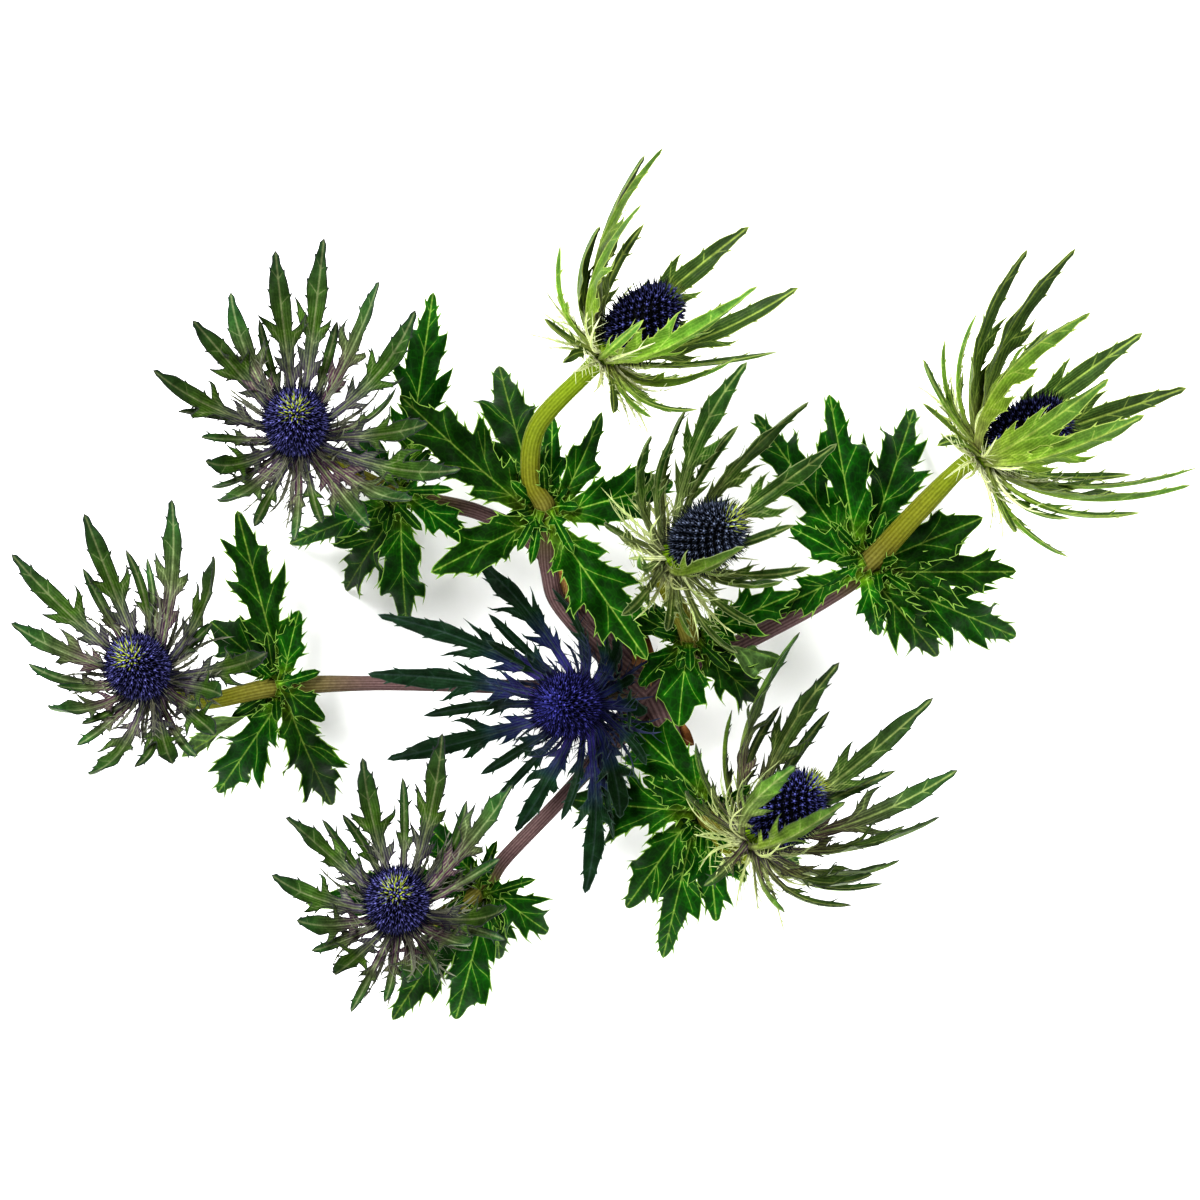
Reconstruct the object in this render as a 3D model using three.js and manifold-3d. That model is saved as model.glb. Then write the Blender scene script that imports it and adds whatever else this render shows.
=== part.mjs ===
// Sea holly stem: a branching crown with eight thistle-like flower heads, cut just under its lowest
// branching node and laid face up. Millimetres, +Z up. It rests on the stub's cut face and on the tips
// of its lowest leaves. One mesh for the branching stem, one for each leaf whorl, one for each cone of
// florets and one for each collar of spiny bracts.
import * as THREE from "three";
import { ConvexHull } from "three/addons/math/ConvexHull.js";
import { mergeVertices } from "three/addons/utils/BufferGeometryUtils.js";
import Module from "manifold-3d";

const wasm = await Module();
wasm.setup();

// ---------------------------------------------------------------- driving dimensions

const GAP = 0.35; // clear space kept between neighbouring pieces
const CROWN_CENTRE = [1.4, 3.7]; // middle of the crown's outline, which becomes the origin

const STEM_SIDES = 6;
const STEPS_PER_STOP = 2;
const STEM_FLARE = 4.4; // radius of a branch's end under its flower head
const NECK = 8; // a branch is straight for this far below its flower head
const NECK_RADIUS = 2.5;

const CONE_RADIUS = 10.4;
const CONE_LENGTH = 29;
const CONE_WAIST = 13; // height of the widest ring above the hub
const CONE_SEAT = 4.2; // radius of the ring that the cone sits on
const CONE_FOOT = 2.2; // height of its lowest florets
const FLORETS = 44;
const FLORET_RELIEF = 2.1; // how far a floret stands out of the core
const GOLDEN_ANGLE = 180 * (3 - Math.sqrt(5));

const HUB_HEIGHT = 1.8; // blades grow from the rim of a flat hub, as thick as their roots
const HEAD_HUB_RADIUS = 6.6;
const WHORL_HUB_WALL = 1.9; // a whorl's hub clasps the stem as a ring of this width
const STEM_CLEARANCE = 0.8; // between that ring and the stem inside it
const SPREAD = 24; // a bract leaves its hub this many degrees flatter than it ends
const FLATTEST = 95;
const KNEE = 0.45; // share of the length at which a blade has turned
const LEAF_RISE = 7; // leaves arch this far above their node before they droop

const RIB_HALF = 0.8; // half thickness of a blade along its midrib
const MARGIN_HALF = 0.32; // half thickness of a blade at its edge
const FOLD = 20; // degrees that each half of a blade is folded up from flat
const UNEVEN = 0.05; // share of the length by which the teeth of one side sit nearer the root

// Blade outlines. A margin point is [share of the length, half width, 1 for an edge or 0 for a spine tip].
const FORMS = {
  broad: {
    rib: [0.36, 0.7],
    margin: [[0, 0.9, 1], [0.33, 1.7, 1], [0.5, 4.9, 0], [0.47, 2.9, 1], [0.76, 6.3, 0], [0.72, 2.7, 1]],
  },
  slim: {
    rib: [0.5],
    margin: [[0, 0.7, 1], [0.56, 1.1, 1], [0.74, 2.7, 0], [0.68, 0.8, 1]],
  },
  lobed: {
    rib: [0.3, 0.62],
    margin: [
      [0, 1.2, 1], [0.26, 2.2, 1], [0.4, 5.4, 0], [0.4, 3.2, 1], [0.66, 11, 0], [0.6, 4.2, 1],
      [0.82, 6.8, 0], [0.8, 3.0, 1],
    ],
  },
  toothed: {
    rib: [0.35, 0.7],
    margin: [[0, 1.2, 1], [0.28, 2.6, 1], [0.46, 6.2, 0], [0.46, 4.2, 1], [0.74, 6.8, 0], [0.74, 3.2, 1]],
  },
  narrow: {
    rib: [0.5],
    margin: [[0, 1.1, 1], [0.4, 2.4, 1], [0.62, 4.6, 0], [0.62, 2.2, 1]],
  },
};

// Each branch runs from the lowest node through these stops: [x, y, z, radius]. It ends straight under
// its flower head, where a neck is added.
const FORK = [14, -26, 26, 4.4];
const STUB = [[15, -27, 0, 4.0], [15, -27, 12, 4.0], FORK];
const BRANCHES = [
  [FORK, [-16, 13, 34, 2.1], [-33, 24, 36, 2.1], [-56, 29, 39, 2.6], [-74, 38, 41, 2.2]],
  [FORK, [-9, -4, 36, 2.4], [-14, 8, 42, 2.4], [-15, 25, 48, 3.3], [-19, 34, 53, 3.0], [-17, 48, 60, 3.0]],
  [FORK, [33, -15, 30, 2.6], [61, 0, 34, 2.6], [74, 10, 38, 3.2], [87, 24, 48, 2.9]],
  [FORK, [20, -19, 34, 2.4], [25, -11, 42, 2.8]],
  [FORK, [-25, -24, 26, 2.0], [-60, -23, 27, 2.0], [-89, -24, 34, 2.6], [-110, -28, 37, 2.2]],
  [FORK, [-8, -52, 28, 2.0], [-26, -71, 30, 2.0], [-33, -80, 33, 2.5], [-46, -88, 35, 2.2]],
  [FORK, [23, -46, 31, 2.3], [29, -59, 35, 2.8]],
  [FORK, [6, -27, 28, 2.6]],
];
const WHORL_STOP = [3, 3, 3, 2, 3, 3, 2]; // which stop of each branch carries its whorl of leaves

// Flower heads in the order of their branches. base is the receptacle's top, tilt the lean of the axis
// from upright towards the compass angle `toward`. A bract is [angle round the axis, opening from the
// axis, length, form], and bracts without a form are slim.
const HEADS = [
  {
    base: [-83, 45, 53], tilt: 17, toward: 95,
    bracts: [
      [39, 55, 52, "broad"], [56, 53, 52, "broad"], [80, 54, 58, "broad"], [97, 58, 53, "broad"],
      [118, 55, 46, "broad"], [138, 55, 46, "broad"], [165, 55, 49, "broad"], [208, 55, 34, "broad"],
      [230, 57, 39, "broad"], [303, 64, 42, "broad"], [320, 56, 51, "broad"], [338, 60, 57, "broad"],
      [353, 55, 45, "broad"], [69, 66, 34], [109, 72, 34], [174, 70, 35], [190, 62, 30], [218, 68, 32],
      [250, 65, 36], [270, 66, 38], [284, 64, 34], [20, 66, 32],
    ],
  },
  {
    base: [2, 67.5, 70], tilt: 74, toward: 42,
    bracts: [
      [2, 36, 57, "broad"], [42, 36, 56, "broad"], [104, 43, 56, "broad"], [122, 33, 59, "broad"],
      [144, 49, 37, "broad"], [168, 36, 50, "broad"], [250, 30, 60, "broad"], [298, 48, 31, "broad"],
      [84, 48, 40], [160, 66, 38], [182, 91, 29], [203, 108, 20], [222, 50, 33], [252, 98, 27],
      [268, 84, 30], [279, 68, 36], [326, 46, 35], [345, 50, 48], [20, 62, 34], [318, 86, 24],
    ],
  },
  {
    base: [106, 40, 54], tilt: 80, toward: 28,
    bracts: [
      [12, 34, 64, "broad"], [44, 34, 60, "broad"], [103, 40, 62, "broad"], [120, 50, 58, "broad"],
      [168, 34, 58, "broad"], [203, 34, 54, "broad"], [228, 33, 58, "broad"], [313, 38, 57, "broad"],
      [134, 64, 41], [150, 78, 40], [160, 88, 42], [170, 98, 34], [190, 104, 28], [250, 88, 34],
      [264, 76, 44], [286, 64, 30], [296, 48, 46], [332, 38, 60], [345, 50, 46], [70, 50, 44],
    ],
  },
  {
    base: [21, 12, 57], tilt: 48, toward: 33,
    bracts: [
      [36, 44, 54, "broad"], [58, 42, 56, "broad"], [91, 44, 58, "broad"], [147, 50, 45, "broad"],
      [238, 26, 42, "broad"], [316, 44, 32, "broad"], [76, 50, 40], [104, 56, 42], [120, 52, 36],
      [176, 79, 31], [200, 66, 28], [222, 88, 34], [244, 80, 31], [256, 74, 32], [272, 66, 40],
      [294, 62, 32], [344, 54, 37], [10, 52, 34],
    ],
  },
  {
    base: [-124, -22, 48], tilt: 20, toward: 128,
    bracts: [
      [50, 55, 44, "broad"], [74, 55, 54, "broad"], [108, 55, 51, "broad"], [139, 55, 53, "broad"],
      [163, 55, 43, "broad"], [206, 57, 32, "broad"], [252, 57, 41, "broad"], [292, 62, 35, "broad"],
      [318, 64, 34, "broad"], [339, 60, 30, "broad"], [0, 58, 46, "broad"], [32, 65, 26], [87, 66, 34],
      [97, 64, 37], [120, 66, 36], [176, 68, 34], [188, 70, 26], [222, 66, 24], [232, 66, 30],
      [270, 64, 32], [304, 76, 30], [328, 50, 28],
    ],
  },
  {
    base: [-55, -86, 45], tilt: 15, toward: 100,
    bracts: [
      [41, 54, 53, "broad"], [73, 54, 55, "broad"], [104, 54, 47, "broad"], [146, 54, 45, "broad"],
      [172, 55, 42, "broad"], [194, 56, 34, "broad"], [233, 55, 34, "broad"], [277, 57, 28, "broad"],
      [327, 54, 30, "broad"], [352, 54, 38, "broad"], [22, 64, 34], [56, 66, 37], [88, 65, 38],
      [122, 66, 32], [132, 68, 34], [210, 66, 30], [249, 65, 38], [263, 70, 30], [299, 64, 26],
      [339, 66, 35],
    ],
  },
  {
    base: [43, -65.5, 45], tilt: 61, toward: 43,
    bracts: [
      [5, 42, 59, "broad"], [36, 42, 64, "broad"], [76, 42, 54, "broad"], [102, 42, 58, "broad"],
      [206, 34, 46, "broad"], [244, 31, 48, "broad"], [286, 50, 42, "broad"], [314, 48, 42, "broad"],
      [341, 42, 51, "broad"], [22, 52, 46], [62, 54, 44], [88, 55, 38], [120, 60, 36], [150, 70, 34],
      [179, 78, 34], [222, 100, 31], [262, 82, 32], [276, 62, 44], [304, 56, 40], [352, 52, 42],
    ],
  },
  {
    base: [-5, -29, 38], tilt: 18, toward: 178,
    bracts: [
      [52, 64, 27, "broad"], [122, 67, 55, "broad"], [154, 66, 62, "broad"], [171, 66, 60, "broad"],
      [197, 67, 56, "broad"], [249, 66, 41, "broad"], [279, 67, 57, "broad"], [297, 67, 38, "broad"],
      [357, 66, 24, "broad"], [75, 72, 28], [100, 74, 34], [134, 76, 36], [144, 72, 32], [184, 76, 44],
      [216, 74, 34], [232, 70, 36], [264, 76, 33], [288, 78, 40], [322, 74, 28], [24, 72, 20],
    ],
  },
];

// Leaves of each whorl: [compass angle, reach, height of the tip, form, width, roll]. Those that end at
// FLOOR are the ones that the crown rests on.
const FLOOR = 0;
const WHORLS = [
  [
    [80, 57, 18, "lobed", 0.8, 0], [327, 27, 40, "narrow", 1, 0], [241, 30, FLOOR, "lobed", 0.7, 30],
    [204, 33, FLOOR, "narrow", 1.2, 0], [274, 36, 10, "toothed", 0.8, 20], [130, 24, 22, "narrow", 1, 0],
  ],
  [
    [142, 51, 46, "lobed", 1, 0], [108, 42, FLOOR, "toothed", 1, 0], [209, 36, 62, "toothed", 0.9, 0],
    [304, 50, 60, "lobed", 1, 0], [12, 36, 40, "toothed", 1, 0], [60, 31, 40, "narrow", 1.2, 40],
    [86, 26, 34, "narrow", 1, 0],
  ],
  [
    [73, 45, FLOOR, "lobed", 0.9, 0], [103, 48, 30, "toothed", 1, 40], [127, 52, 16, "lobed", 0.8, 0],
    [155, 24, 44, "narrow", 1.2, 0], [206, 33, 27, "narrow", 1, 0], [22, 34, 42, "toothed", 0.9, 0],
    [357, 41, 30, "lobed", 0.8, 0], [334, 46, FLOOR, "lobed", 0.9, 0], [307, 32, 18, "lobed", 0.7, 0],
    [278, 20, 30, "narrow", 1, 0],
  ],
  [
    [262, 24, 50, "toothed", 1, 0], [24, 33, 42, "lobed", 0.7, 0], [347, 26, 42, "toothed", 0.9, 180],
    [318, 26, 30, "lobed", 0.7, 0], [154, 24, 36, "narrow", 1.2, 0], [222, 19, 37, "narrow", 1, 0],
  ],
  [
    [103, 50, 22, "lobed", 0.8, 0], [136, 26, 20, "toothed", 0.9, 0], [74, 22, 34, "narrow", 1, 0],
    [325, 16, 36, "narrow", 1, 0], [294, 36, FLOOR, "lobed", 0.8, 0], [240, 34, FLOOR, "lobed", 0.8, 0],
    [216, 33, 18, "narrow", 1.3, 180],
  ],
  [
    [328, 22, 26, "lobed", 0.7, 0], [285, 20, 14, "narrow", 1, 0], [259, 37, FLOOR, "toothed", 0.9, 0],
    [236, 44, FLOOR, "toothed", 0.9, 0], [185, 48, 24, "toothed", 0.8, 0], [130, 26, 20, "narrow", 1.2, 0],
  ],
  [
    [131, 36, 30, "toothed", 1.1, 0], [174, 38, 22, "lobed", 1, 0], [150, 20, 40, "narrow", 1, 0],
    [230, 34, 14, "toothed", 0.8, 0], [254, 42, FLOOR, "narrow", 1.4, 0], [276, 30, 20, "lobed", 0.7, 0],
    [300, 22, 26, "narrow", 1, 0], [331, 30, FLOOR, "lobed", 0.7, 0],
  ],
];

const COLOURS = {
  stem: 0x8a6f55,
  leaf: 0x2b6a1d,
  cone: 0x3a3c7c,
  bracts: [0x5b6b4a, 0x86aa48, 0x86aa48, 0x7e9c50, 0x56674c, 0x56614c, 0x7a9350, 0x2c3350],
};

// ---------------------------------------------------------------- solids

const radians = THREE.MathUtils.degToRad;
const vector = ([x, y, z]) => new THREE.Vector3(x, y, z);

/** The point at an angle, a radius and a height about the Z axis. */
function polar(degrees, radius, height = 0) {
  return new THREE.Vector3(radius * Math.cos(radians(degrees)), radius * Math.sin(radians(degrees)), height);
}

/** A closed surface from its corners and triangles. */
function surfaceOf({ corners, triangles }) {
  return mergeVertices(new THREE.BufferGeometry().setFromPoints(corners).setIndex(triangles), 1e-4);
}

/** Joins closed surfaces into one. */
function joined(surfaces) {
  const solids = surfaces.map((surface) => {
    const vertProperties = surface.attributes.position.array;
    const triVerts = new Uint32Array(surface.index.array);
    return new wasm.Manifold(new wasm.Mesh({ numProp: 3, vertProperties, triVerts }));
  });
  const { vertProperties, triVerts } = solids.reduce((whole, next) => whole.add(next)).getMesh();
  const surface = new THREE.BufferGeometry();
  surface.setAttribute("position", new THREE.BufferAttribute(vertProperties, 3));
  return surface.setIndex(new THREE.BufferAttribute(triVerts, 1));
}

/** A named mesh with its own material. */
function meshOf(name, surface, color, roughness) {
  const material = new THREE.MeshStandardMaterial({ color, roughness, metalness: 0, flatShading: true });
  const mesh = new THREE.Mesh(surface, material);
  mesh.name = name;
  return mesh;
}

/** The frame of an axis that leans `tilt` degrees from upright towards a compass angle. */
function leaningFrame(origin, tilt, toward) {
  const hinge = polar(toward + 90, 1);
  return new THREE.Matrix4().makeRotationAxis(hinge, radians(tilt)).setPosition(vector(origin));
}

// ---------------------------------------------------------------- stem

/** A tapering round tube along its stops, closed at both ends. */
function tube(stops) {
  const run = new THREE.CatmullRomCurve3(stops.map(vector), false, "catmullrom", 0.5);
  const spans = stops.length - 1;
  const steps = spans * STEPS_PER_STOP;
  const frames = run.computeFrenetFrames(steps, false);
  const corners = [];
  for (let step = 0; step <= steps; step += 1) {
    const at = step / STEPS_PER_STOP;
    const before = Math.min(Math.floor(at), spans - 1);
    const radius = THREE.MathUtils.lerp(stops[before][3], stops[before + 1][3], at - before);
    for (let side = 0; side < STEM_SIDES; side += 1) {
      const around = polar((side * 360) / STEM_SIDES, radius);
      const corner = run.getPoint(step / steps)
        .addScaledVector(frames.normals[step], around.x)
        .addScaledVector(frames.binormals[step], around.y);
      corners.push(corner);
    }
  }
  const triangles = [];
  for (let ring = 0; ring < steps * STEM_SIDES; ring += STEM_SIDES) {
    for (let side = 0; side < STEM_SIDES; side += 1) {
      const a = ring + side;
      const b = ring + ((side + 1) % STEM_SIDES);
      triangles.push(a, b, a + STEM_SIDES, b, b + STEM_SIDES, a + STEM_SIDES);
    }
  }
  const last = steps * STEM_SIDES;
  for (let side = 1; side < STEM_SIDES - 1; side += 1) {
    triangles.push(0, side + 1, side, last, last + side, last + side + 1);
  }
  return surfaceOf({ corners, triangles });
}

/** A branch's stops, ending in a neck and a flare on the axis of its flower head. */
function branchStops(index) {
  const { base, tilt, toward } = HEADS[index];
  const frame = leaningFrame(base, tilt, toward);
  const end = vector([0, 0, -HUB_HEIGHT - GAP]).applyMatrix4(frame);
  const neck = vector([0, 0, -NECK]).applyMatrix4(frame);
  return [...BRANCHES[index], [...neck.toArray(), NECK_RADIUS], [...end.toArray(), STEM_FLARE]];
}

// ---------------------------------------------------------------- blades and their hubs

/** Adds a corner above and below a point of a blade's middle surface, or only one at a sharp tip. */
function addPair(skin, above, below) {
  const top = skin.corners.push(above) - 1;
  return { top, bottom: below ? skin.corners.push(below) - 1 : top };
}

/** Adds the wall between two pairs, facing right of the way from the first to the second. */
function addWall(skin, a, b) {
  if (a.top !== a.bottom) skin.triangles.push(a.top, a.bottom, b.bottom);
  if (b.top !== b.bottom) skin.triangles.push(a.top, b.bottom, b.top);
}

/** Places a blade's point at share `u` of its length, `v` to its side and `h` above its middle surface. */
function bladePlacer({ root, knee, tip, up, roll }) {
  const spine = new THREE.QuadraticBezierCurve3(root, knee, tip);
  const fold = radians(FOLD);
  return (u, v, h) => {
    const along = spine.getTangent(u);
    const above = up.clone().addScaledVector(along, -up.dot(along)).normalize();
    above.applyAxisAngle(along, radians(roll) * u);
    const side = new THREE.Vector3().crossVectors(above, along);
    return spine.getPoint(u)
      .addScaledVector(side, v * Math.cos(fold))
      .addScaledVector(above, Math.abs(v) * Math.sin(fold) + h);
  };
}

/** Adds a folded blade with spiny margins, growing from the three pairs of corners of its hub's slot. */
function addBlade(skin, spec, roots) {
  const place = bladePlacer(spec);
  const { rib, margin } = FORMS[spec.form];
  const add = (u, v, half) => {
    const pair = addPair(skin, place(u, v, half), half > 0 ? place(u, v, -half) : null);
    return { ...pair, flat: new THREE.Vector2(u * spec.length, v) };
  };
  const atRoot = (hand) => ({ ...roots[hand + 1], flat: new THREE.Vector2(0, hand * margin[0][1]) });
  const middle = [atRoot(0), ...rib.map((u) => add(u, 0, RIB_HALF * (1 - u / 2)))];
  const tip = add(1, 0, 0);
  for (const hand of [1, -1]) {
    const edge = margin.slice(1).map(([u, v, thick]) => {
      const shifted = hand > 0 ? u : u - UNEVEN * Math.sin(Math.PI * u);
      return add(shifted, hand * v * spec.width, thick * MARGIN_HALF);
    });
    const outer = [atRoot(hand), ...edge, tip];
    const ring = [...outer, ...middle.toReversed()];
    if (hand > 0) outer.reverse();
    outer.slice(1).forEach((next, i) => addWall(skin, outer[i], next));
    for (const face of THREE.ShapeUtils.triangulateShape(ring.map((point) => point.flat), [])) {
      const [p, ...others] = face.map((i) => ring[i]);
      const [toQ, toR] = others.map((point) => point.flat.clone().sub(p.flat));
      const [q, r] = toQ.cross(toR) > 0 ? others : others.reverse();
      skin.triangles.push(p.top, q.top, r.top, p.bottom, r.bottom, q.bottom);
    }
  }
}

/** Even slots round a hub, turned to lie closest to the sorted angles of its blades. */
function slotAngles(angles) {
  const step = 360 / angles.length;
  const turn = angles.reduce((sum, angle, i) => sum + angle - i * step, 0) / angles.length;
  return angles.map((_, i) => turn + i * step);
}

/** A hub with a blade in each slot of its rim: a disc, or a ring where it has a bore. */
function hubWithBlades(radius, bore, slots, specs) {
  const skin = { corners: [], triangles: [] };
  const pairAt = (angle, distance) =>
    addPair(skin, polar(angle, distance), polar(angle, distance, -HUB_HEIGHT));
  const rim = [];
  const inner = [];
  specs.forEach((spec, index) => {
    const halfSlot = THREE.MathUtils.radToDeg(Math.asin(FORMS[spec.form].margin[0][1] / radius));
    const angles = [-1, 0, 1].map((hand) => slots[index] + hand * halfSlot);
    const roots = angles.map((angle) => pairAt(angle, radius));
    addBlade(skin, spec, roots);
    rim.push(...roots);
    if (bore) inner.push(...angles.map((angle) => pairAt(angle, bore)));
  });
  const centre = bore ? null : pairAt(0, 0);
  rim.forEach((a, i) => {
    const next = (i + 1) % rim.length;
    const b = rim[next];
    if (i % 3 === 2) addWall(skin, a, b);
    const [c, d] = bore ? [inner[i], inner[next]] : [centre, centre];
    skin.triangles.push(c.top, a.top, b.top, c.bottom, b.bottom, a.bottom);
    if (bore) {
      skin.triangles.push(c.top, b.top, d.top, c.bottom, d.bottom, b.bottom);
      addWall(skin, d, c);
    }
  });
  return surfaceOf(skin);
}

/** A repeatable number between -0.5 and 0.5 for a seed. */
function scatter(seed) {
  const wave = Math.sin(seed * 12.9898) * 43758.5453;
  return wave - Math.floor(wave) - 0.5;
}

// ---------------------------------------------------------------- flower heads

/** The bracts of a head in its own frame, sorted round it, with the slots that they grow from. */
function bractSpecs(head, headIndex) {
  const bracts = head.bracts.toSorted((a, b) => a[0] - b[0]);
  const slots = slotAngles(bracts.map(([angle]) => angle));
  const specs = bracts.map(([angle, opening, length, form = "slim"], index) => {
    const turned = THREE.MathUtils.lerp(slots[index], angle, 0.75);
    const flat = radians(Math.min(opening + SPREAD, FLATTEST));
    const run = length * KNEE;
    const root = polar(slots[index], HEAD_HUB_RADIUS, -HUB_HEIGHT / 2);
    const knee = polar(turned, HEAD_HUB_RADIUS + run * Math.sin(flat), root.z + run * Math.cos(flat));
    const tip = polar(angle, length * Math.sin(radians(opening)), length * Math.cos(radians(opening)));
    const up = polar(turned, -0.6, 0.8);
    const roll = 50 * scatter(headIndex * 40 + index);
    return { root, knee, tip, up, roll, form, length, width: 1 };
  });
  return { slots, specs };
}

/** The ovoid's radius at a height above the hub. */
function ovoidRadius(height) {
  const half = height < CONE_WAIST ? CONE_WAIST * 1.12 : CONE_LENGTH - CONE_WAIST;
  return CONE_RADIUS * Math.sqrt(Math.max(0, 1 - ((height - CONE_WAIST) / half) ** 2));
}

/** A cone of florets: points in a golden spiral on an ovoid, each standing out of the core. */
function coneSurface() {
  const points = [];
  for (let i = 0; i < FLORETS; i += 1) {
    const height = CONE_FOOT + (CONE_LENGTH - CONE_FOOT) * ((i + 0.5) / FLORETS) ** 0.96;
    points.push(polar(i * GOLDEN_ANGLE, ovoidRadius(height), height));
  }
  for (let i = 0; i < 6; i += 1) points.push(polar(i * 60, CONE_SEAT, GAP));
  const corners = [];
  const triangles = [];
  const known = new Map();
  const add = (point) => {
    const key = point.toArray().map((n) => n.toFixed(3)).join();
    if (!known.has(key)) known.set(key, corners.push(point.clone()) - 1);
    return known.get(key);
  };
  const between = (a, b) => {
    const middle = a.clone().lerp(b, 0.5);
    const onSeat = Math.min(a.z, b.z) < CONE_FOOT;
    const inward = vector([0, 0, CONE_WAIST]).sub(middle).normalize();
    return onSeat ? middle : middle.addScaledVector(inward, FLORET_RELIEF);
  };
  for (const face of new ConvexHull().setFromPoints(points).faces) {
    const ring = [face.edge, face.edge.next, face.edge.next.next].map((edge) => edge.head().point);
    const [a, b, c] = ring.map(add);
    const [ab, bc, ca] = [[0, 1], [1, 2], [2, 0]].map(([i, j]) => add(between(ring[i], ring[j])));
    triangles.push(a, ab, ca, b, bc, ab, c, ca, bc, ab, bc, ca);
  }
  return surfaceOf({ corners, triangles });
}

// ---------------------------------------------------------------- leaves

/** The leaves of a whorl in the frame of their node, sorted round it, with the slots that they grow from. */
function leafSpecs(whorl, index) {
  const stops = branchStops(index);
  const at = WHORL_STOP[index];
  const node = vector(stops[at]);
  const direction = vector(stops[at + 1]).sub(vector(stops[at - 1])).normalize();
  const tilt = THREE.MathUtils.radToDeg(Math.acos(direction.z));
  const toward = THREE.MathUtils.radToDeg(Math.atan2(direction.y, direction.x));
  const frame = leaningFrame(node.toArray(), tilt, toward);
  const toOwn = frame.clone().invert();
  const bore = stops[at][3] + STEM_CLEARANCE;
  const radius = bore + WHORL_HUB_WALL;
  const leaves = whorl.toSorted((a, b) => a[0] - b[0]);
  const slots = slotAngles(leaves.map(([angle]) => angle));
  const specs = leaves.map(([angle, reach, height, form, width, roll], i) => {
    const root = polar(slots[i], radius, -HUB_HEIGHT / 2).applyMatrix4(frame);
    const tip = polar(angle, reach).add(node).setZ(height);
    const knee = root.clone().lerp(tip, KNEE).setZ(root.z + LEAF_RISE);
    const up = polar(angle, 0.5, 0.8).transformDirection(toOwn);
    for (const point of [root, knee, tip]) point.applyMatrix4(toOwn);
    return { root, knee, tip, up, roll, form, length: root.distanceTo(tip), width };
  });
  return { frame, radius, bore, slots, specs };
}

// ---------------------------------------------------------------- assembly

const plant = new THREE.Group();
plant.name = "sea_holly_stem";
plant.position.set(-CROWN_CENTRE[0], -CROWN_CENTRE[1], 0);

const tubes = [STUB, ...BRANCHES.map((_, index) => branchStops(index))].map(tube);
plant.add(meshOf("stem", joined(tubes), COLOURS.stem, 0.6));

const cone = coneSurface();
HEADS.forEach((head, index) => {
  const { slots, specs } = bractSpecs(head, index);
  const collar = hubWithBlades(HEAD_HUB_RADIUS, 0, slots, specs);
  const flowerHead = new THREE.Group();
  flowerHead.add(meshOf(`bracts_${index + 1}`, collar, COLOURS.bracts[index], 0.55));
  flowerHead.add(meshOf(`cone_${index + 1}`, cone, COLOURS.cone, 0.75));
  flowerHead.applyMatrix4(leaningFrame(head.base, head.tilt, head.toward));
  plant.add(flowerHead);
});

WHORLS.forEach((leaves, index) => {
  const { frame, radius, bore, slots, specs } = leafSpecs(leaves, index);
  const whorl = meshOf(`leaves_${index + 1}`, hubWithBlades(radius, bore, slots, specs), COLOURS.leaf, 0.5);
  whorl.applyMatrix4(frame);
  plant.add(whorl);
});

export default plant;
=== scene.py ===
"""Sea holly stem: the looks of a branching crown with eight flower heads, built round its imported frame.

The plant's own layout is in millimetres, with the crown's outline centred on CROWN_CENTRE, as the solids
have it. Blender gets metres, so every mesh is scaled by MM when it is made.
"""
import logging
import math
from collections.abc import Mapping, Sequence
from dataclasses import dataclass
from enum import Enum
from functools import cache
from itertools import pairwise

import bpy
import numpy as np
from mathutils import Matrix, Vector
from mathutils.geometry import delaunay_2d_cdt


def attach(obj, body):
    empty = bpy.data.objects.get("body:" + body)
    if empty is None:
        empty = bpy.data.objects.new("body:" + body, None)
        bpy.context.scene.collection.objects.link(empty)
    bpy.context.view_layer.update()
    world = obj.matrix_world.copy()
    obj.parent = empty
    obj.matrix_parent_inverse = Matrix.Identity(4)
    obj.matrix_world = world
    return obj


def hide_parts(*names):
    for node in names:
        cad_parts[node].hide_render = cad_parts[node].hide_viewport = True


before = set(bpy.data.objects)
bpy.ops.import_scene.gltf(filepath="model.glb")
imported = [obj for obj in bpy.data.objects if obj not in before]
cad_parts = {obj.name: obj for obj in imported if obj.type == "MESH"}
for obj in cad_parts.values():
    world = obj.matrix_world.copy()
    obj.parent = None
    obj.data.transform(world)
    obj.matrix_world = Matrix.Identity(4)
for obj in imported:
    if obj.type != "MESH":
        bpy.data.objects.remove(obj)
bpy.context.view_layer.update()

LOG = logging.getLogger("sea_holly")

MM = 0.001
CROWN_CENTRE = Vector((1.4, 3.7, 0.0))
TO_SCENE = Matrix.Scale(MM, 4) @ Matrix.Translation(-CROWN_CENTRE)
BODY = "root"
GOLDEN_ANGLE = 180.0 * (3.0 - math.sqrt(5.0))
FLOOR_CLEARANCE = 0.15  # no blade comes closer to the floor than this, in mm
SCATTER_TURN, SCATTER_SCALE = 12.9898, 43758.5453  # they make neighbouring seeds give unrelated numbers
TINY = 1e-9  # keeps a division by nothing from failing
SKIN_IOR = 1.4  # of the thin wax on leaves, florets and stalks

Stop = tuple[float, float, float, float]
Points = Sequence[Vector] | np.ndarray
Numbers = Sequence[float] | np.ndarray
Tree = bpy.types.NodeTree
Socket = bpy.types.NodeSocket

COLOURS = {"data_type": "RGBA"}
NUMBERS = {"data_type": "FLOAT"}
MULTIPLY = {"operation": "MULTIPLY"}
MULTIPLY_ADD = {"operation": "MULTIPLY_ADD"}
COSINE = {"operation": "COSINE"}


# ---------------------------------------------------------------- small helpers


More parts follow.
